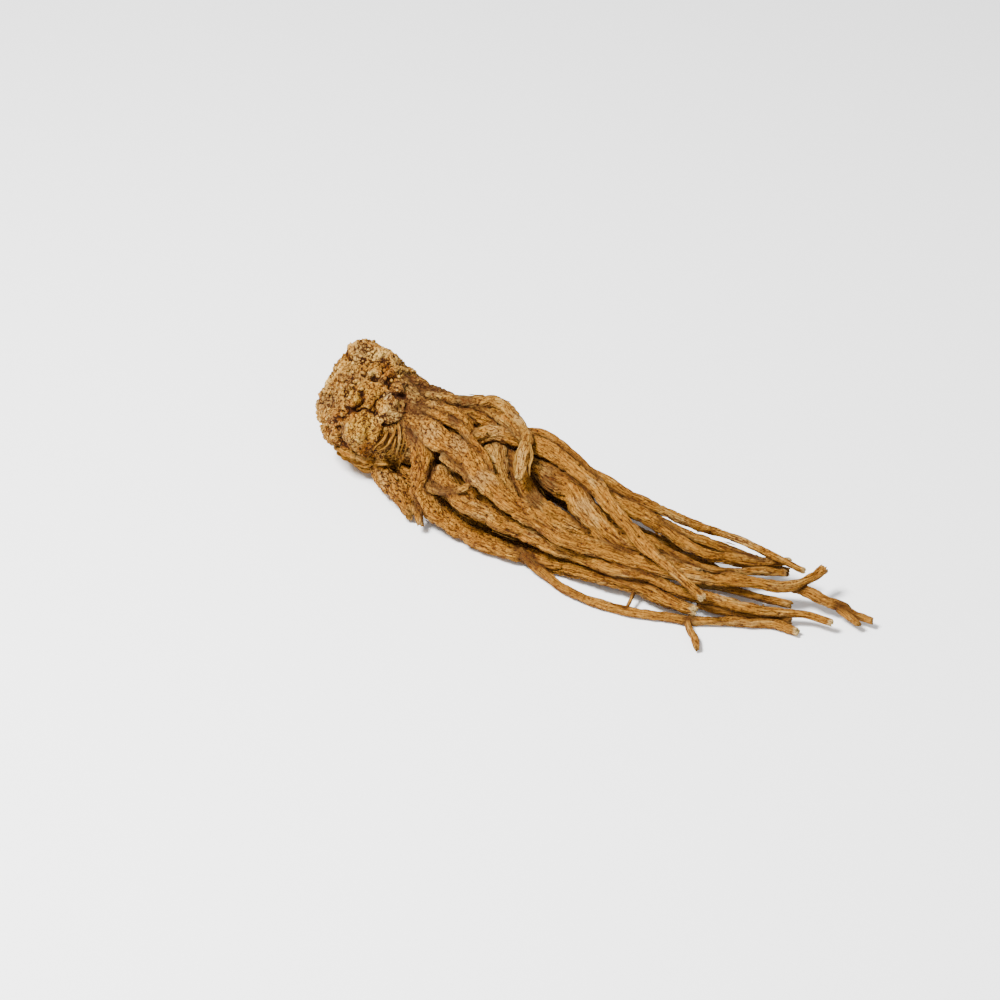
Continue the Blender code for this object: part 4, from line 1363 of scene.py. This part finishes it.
def crown_material():
    """Crumbly crown: tan grains with painted highlights on their tops, pits darkened with painted
    shade, and yellow and rusty patches.
    """
    material, tree, shader = start_material("crumbly_crown", 0.85)
    place = make_node(tree, "ShaderNodeTexCoord", "place").outputs["Object"]
    patches = noise_node(tree, "patches", place, 120.0, 3.0, 0.6)
    crust = plates(tree, "crust", place, (620.0, 620.0, 620.0), 0.14)
    grains = weighed(tree, noise_node(tree, "grains", place, 850.0, 3.0, 0.85), 0.8, crust, 0.14)
    rust = noise_node(tree, "rust", place, 170.0, 5.0, 0.7)
    grey = noise_node(tree, "grey", place, 90.0, 4.0, 0.7)
    ramp = ramp_node(tree, "crown", CROWN_TONES)
    tree.links.new(patches, ramp.inputs["Fac"])
    rusty = maths(tree, "MAXIMUM", spread_out(tree, "rusty", rust, 0.5, 0.64),
                  attribute(tree, "rusty"))
    greyed = maths(
        tree, "MAXIMUM",
        maths(tree, "MULTIPLY", spread_out(tree, "greyed", grey, 0.54, 0.66), 0.6),
        maths(tree, "MULTIPLY", attribute(tree, "greyed"), 0.7),
    )
    above = maths(tree, "SUBTRACT", grains, 0.5)
    level = weighed(tree, attribute(tree, "raised"), 1.0, above, 6.5)
    colour = tinted(tree, ramp.outputs["Color"], (
        ("yellow", attribute(tree, "yellowed"), 0.65, YELLOWED),
        ("rust", rusty, 0.7, RUSTY),
        ("grey", greyed, 1.0, GREYED),
        # paler on the tops of the grains: a painted highlight
        ("painted grain-top highlight", spread_out(tree, "painted grain-top highlight", level, 0.8, 1.9), 0.8, GRAIN_TOP_HIGHLIGHT),
        ("dust", attribute(tree, "dusted"), 0.7, WHITISH),
        # darker in pits and hollows: painted shade
        ("hollow shade", attribute(tree, "painted_hollow_shade"), 0.8, HOLLOW_SHADE),
        # reddish-brown cracks where the relief is low: their own colour and partly painted shade
        ("cracks", spread_out(tree, "cracks", level, 0.5, 0.0), 0.85, CRACK_TONE_AND_SHADE),
        # near black in pits and crevices: painted shade
        ("pits", spread_out(tree, "pits", level, 0.1, -0.5), 0.95, CREVICE_SHADE),
        ("joins", maths(tree, "POWER", attribute(tree, "near"), 1.6), 0.75, JOIN_SHADE),
    ))
    tree.links.new(colour, shader.inputs["Base Color"])
    add_bump(tree, shader, grains, CROWN_BUMP)
    return material


def add_light(name, place, size, power):
    data = bpy.data.lights.new(name, "AREA")
    data.shape = "SQUARE"
    data.size = size
    data.energy = power
    light = bpy.data.objects.new(name, data)
    light.location = place
    way = Vector(LIGHT_TARGET) - Vector(place)
    light.rotation_euler = way.to_track_quat("-Z", "Y").to_euler()
    bpy.context.scene.collection.objects.link(light)


def add_studio():
    """A white floor, a pale surrounding and soft light from above."""
    shape = bmesh.new()
    bmesh.ops.create_grid(shape, x_segments=1, y_segments=1, size=FLOOR_HALF_WIDTH)
    mesh, _ = finished_mesh("floor", shape)
    for vert in mesh.vertices:
        vert.co.z = -FLOOR_DROP
    material, _, shader = start_material("white_floor", 0.9)
    shader.inputs["Base Color"].default_value = (FLOOR_TONE, FLOOR_TONE, FLOOR_TONE, 1.0)
    mesh.materials.append(material)
    floor = bpy.data.objects.new("floor", mesh)
    bpy.context.scene.collection.objects.link(floor)

    world = bpy.data.worlds.new("studio")
    world.use_nodes = True
    background = world.node_tree.nodes["Background"]
    background.inputs["Color"].default_value = (1.0, 1.0, 1.0, 1.0)
    background.inputs["Strength"].default_value = SURROUNDING_LIGHT
    bpy.context.scene.world = world
    for light in LIGHTS:
        add_light(*light)


def add_camera():
    data = bpy.data.cameras.new("camera")
    data.lens = CAMERA_LENS
    data.sensor_width = CAMERA_SENSOR
    data.clip_end = CAMERA_REACH
    camera = bpy.data.objects.new("camera", data)
    target = (Vector(CAMERA_TARGET) - Vector(ORIGIN)) * MM
    camera.location = target + Vector(camera_axes()[2]) * CAMERA_DISTANCE * MM
    tilt = math.pi / 2.0 - math.radians(CAMERA_ELEVATION)
    camera.rotation_euler = (tilt, 0.0, math.radians(CAMERA_AZIMUTH))
    bpy.context.scene.collection.objects.link(camera)
    bpy.context.scene.camera = camera


def main():
    add_camera()
    add_studio()
    barks = {
        tone: bark_material(tone + "_bark", *colours) for tone, colours in BARKS.items()
    }
    barks["crumbly"] = crown_material()
    rootlets = [
        Rootlet(seed, thicknesses, route)
        for seed, (_, _, thicknesses, route) in enumerate(ROOTLETS, start=1)
    ]
    balls = [balls_of(rootlet) for rootlet in rootlets]
    crown_ball = np.array([[*CROWN_CENTRE, CROWN_RADIUS]])
    for i, (name, bark, _, _) in enumerate(ROOTLETS):
        mesh, places = make_rootlet(name, rootlets[i])
        others = [crown_ball] + balls[:i] + balls[i + 1 :]
        shade_near(mesh, places, np.vstack(others))
        close_skin(mesh)
        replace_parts(add_piece(mesh, barks[bark]), NODE)
    mesh, places = make_crown()
    shade_near(mesh, places, np.vstack(balls[1:]))
    close_skin(mesh)
    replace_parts(add_piece(mesh, barks["crumbly"]), NODE)
    add_leaf_strips(barks["golden"])
    add_arch_skin(barks["brown"])
    add_torn_strips(barks["pale"])
    thick_ones = [rootlet for rootlet in rootlets[1:] if rootlet.girth > HAIRY_GIRTH]
    add_hairs(thick_ones, barks["pale"])
    add_slivers(thick_ones, barks["golden"])
    add_crown_crumbs(barks["crumbly"])
    add_bark_crumbs(thick_ones, barks["golden"])


main()
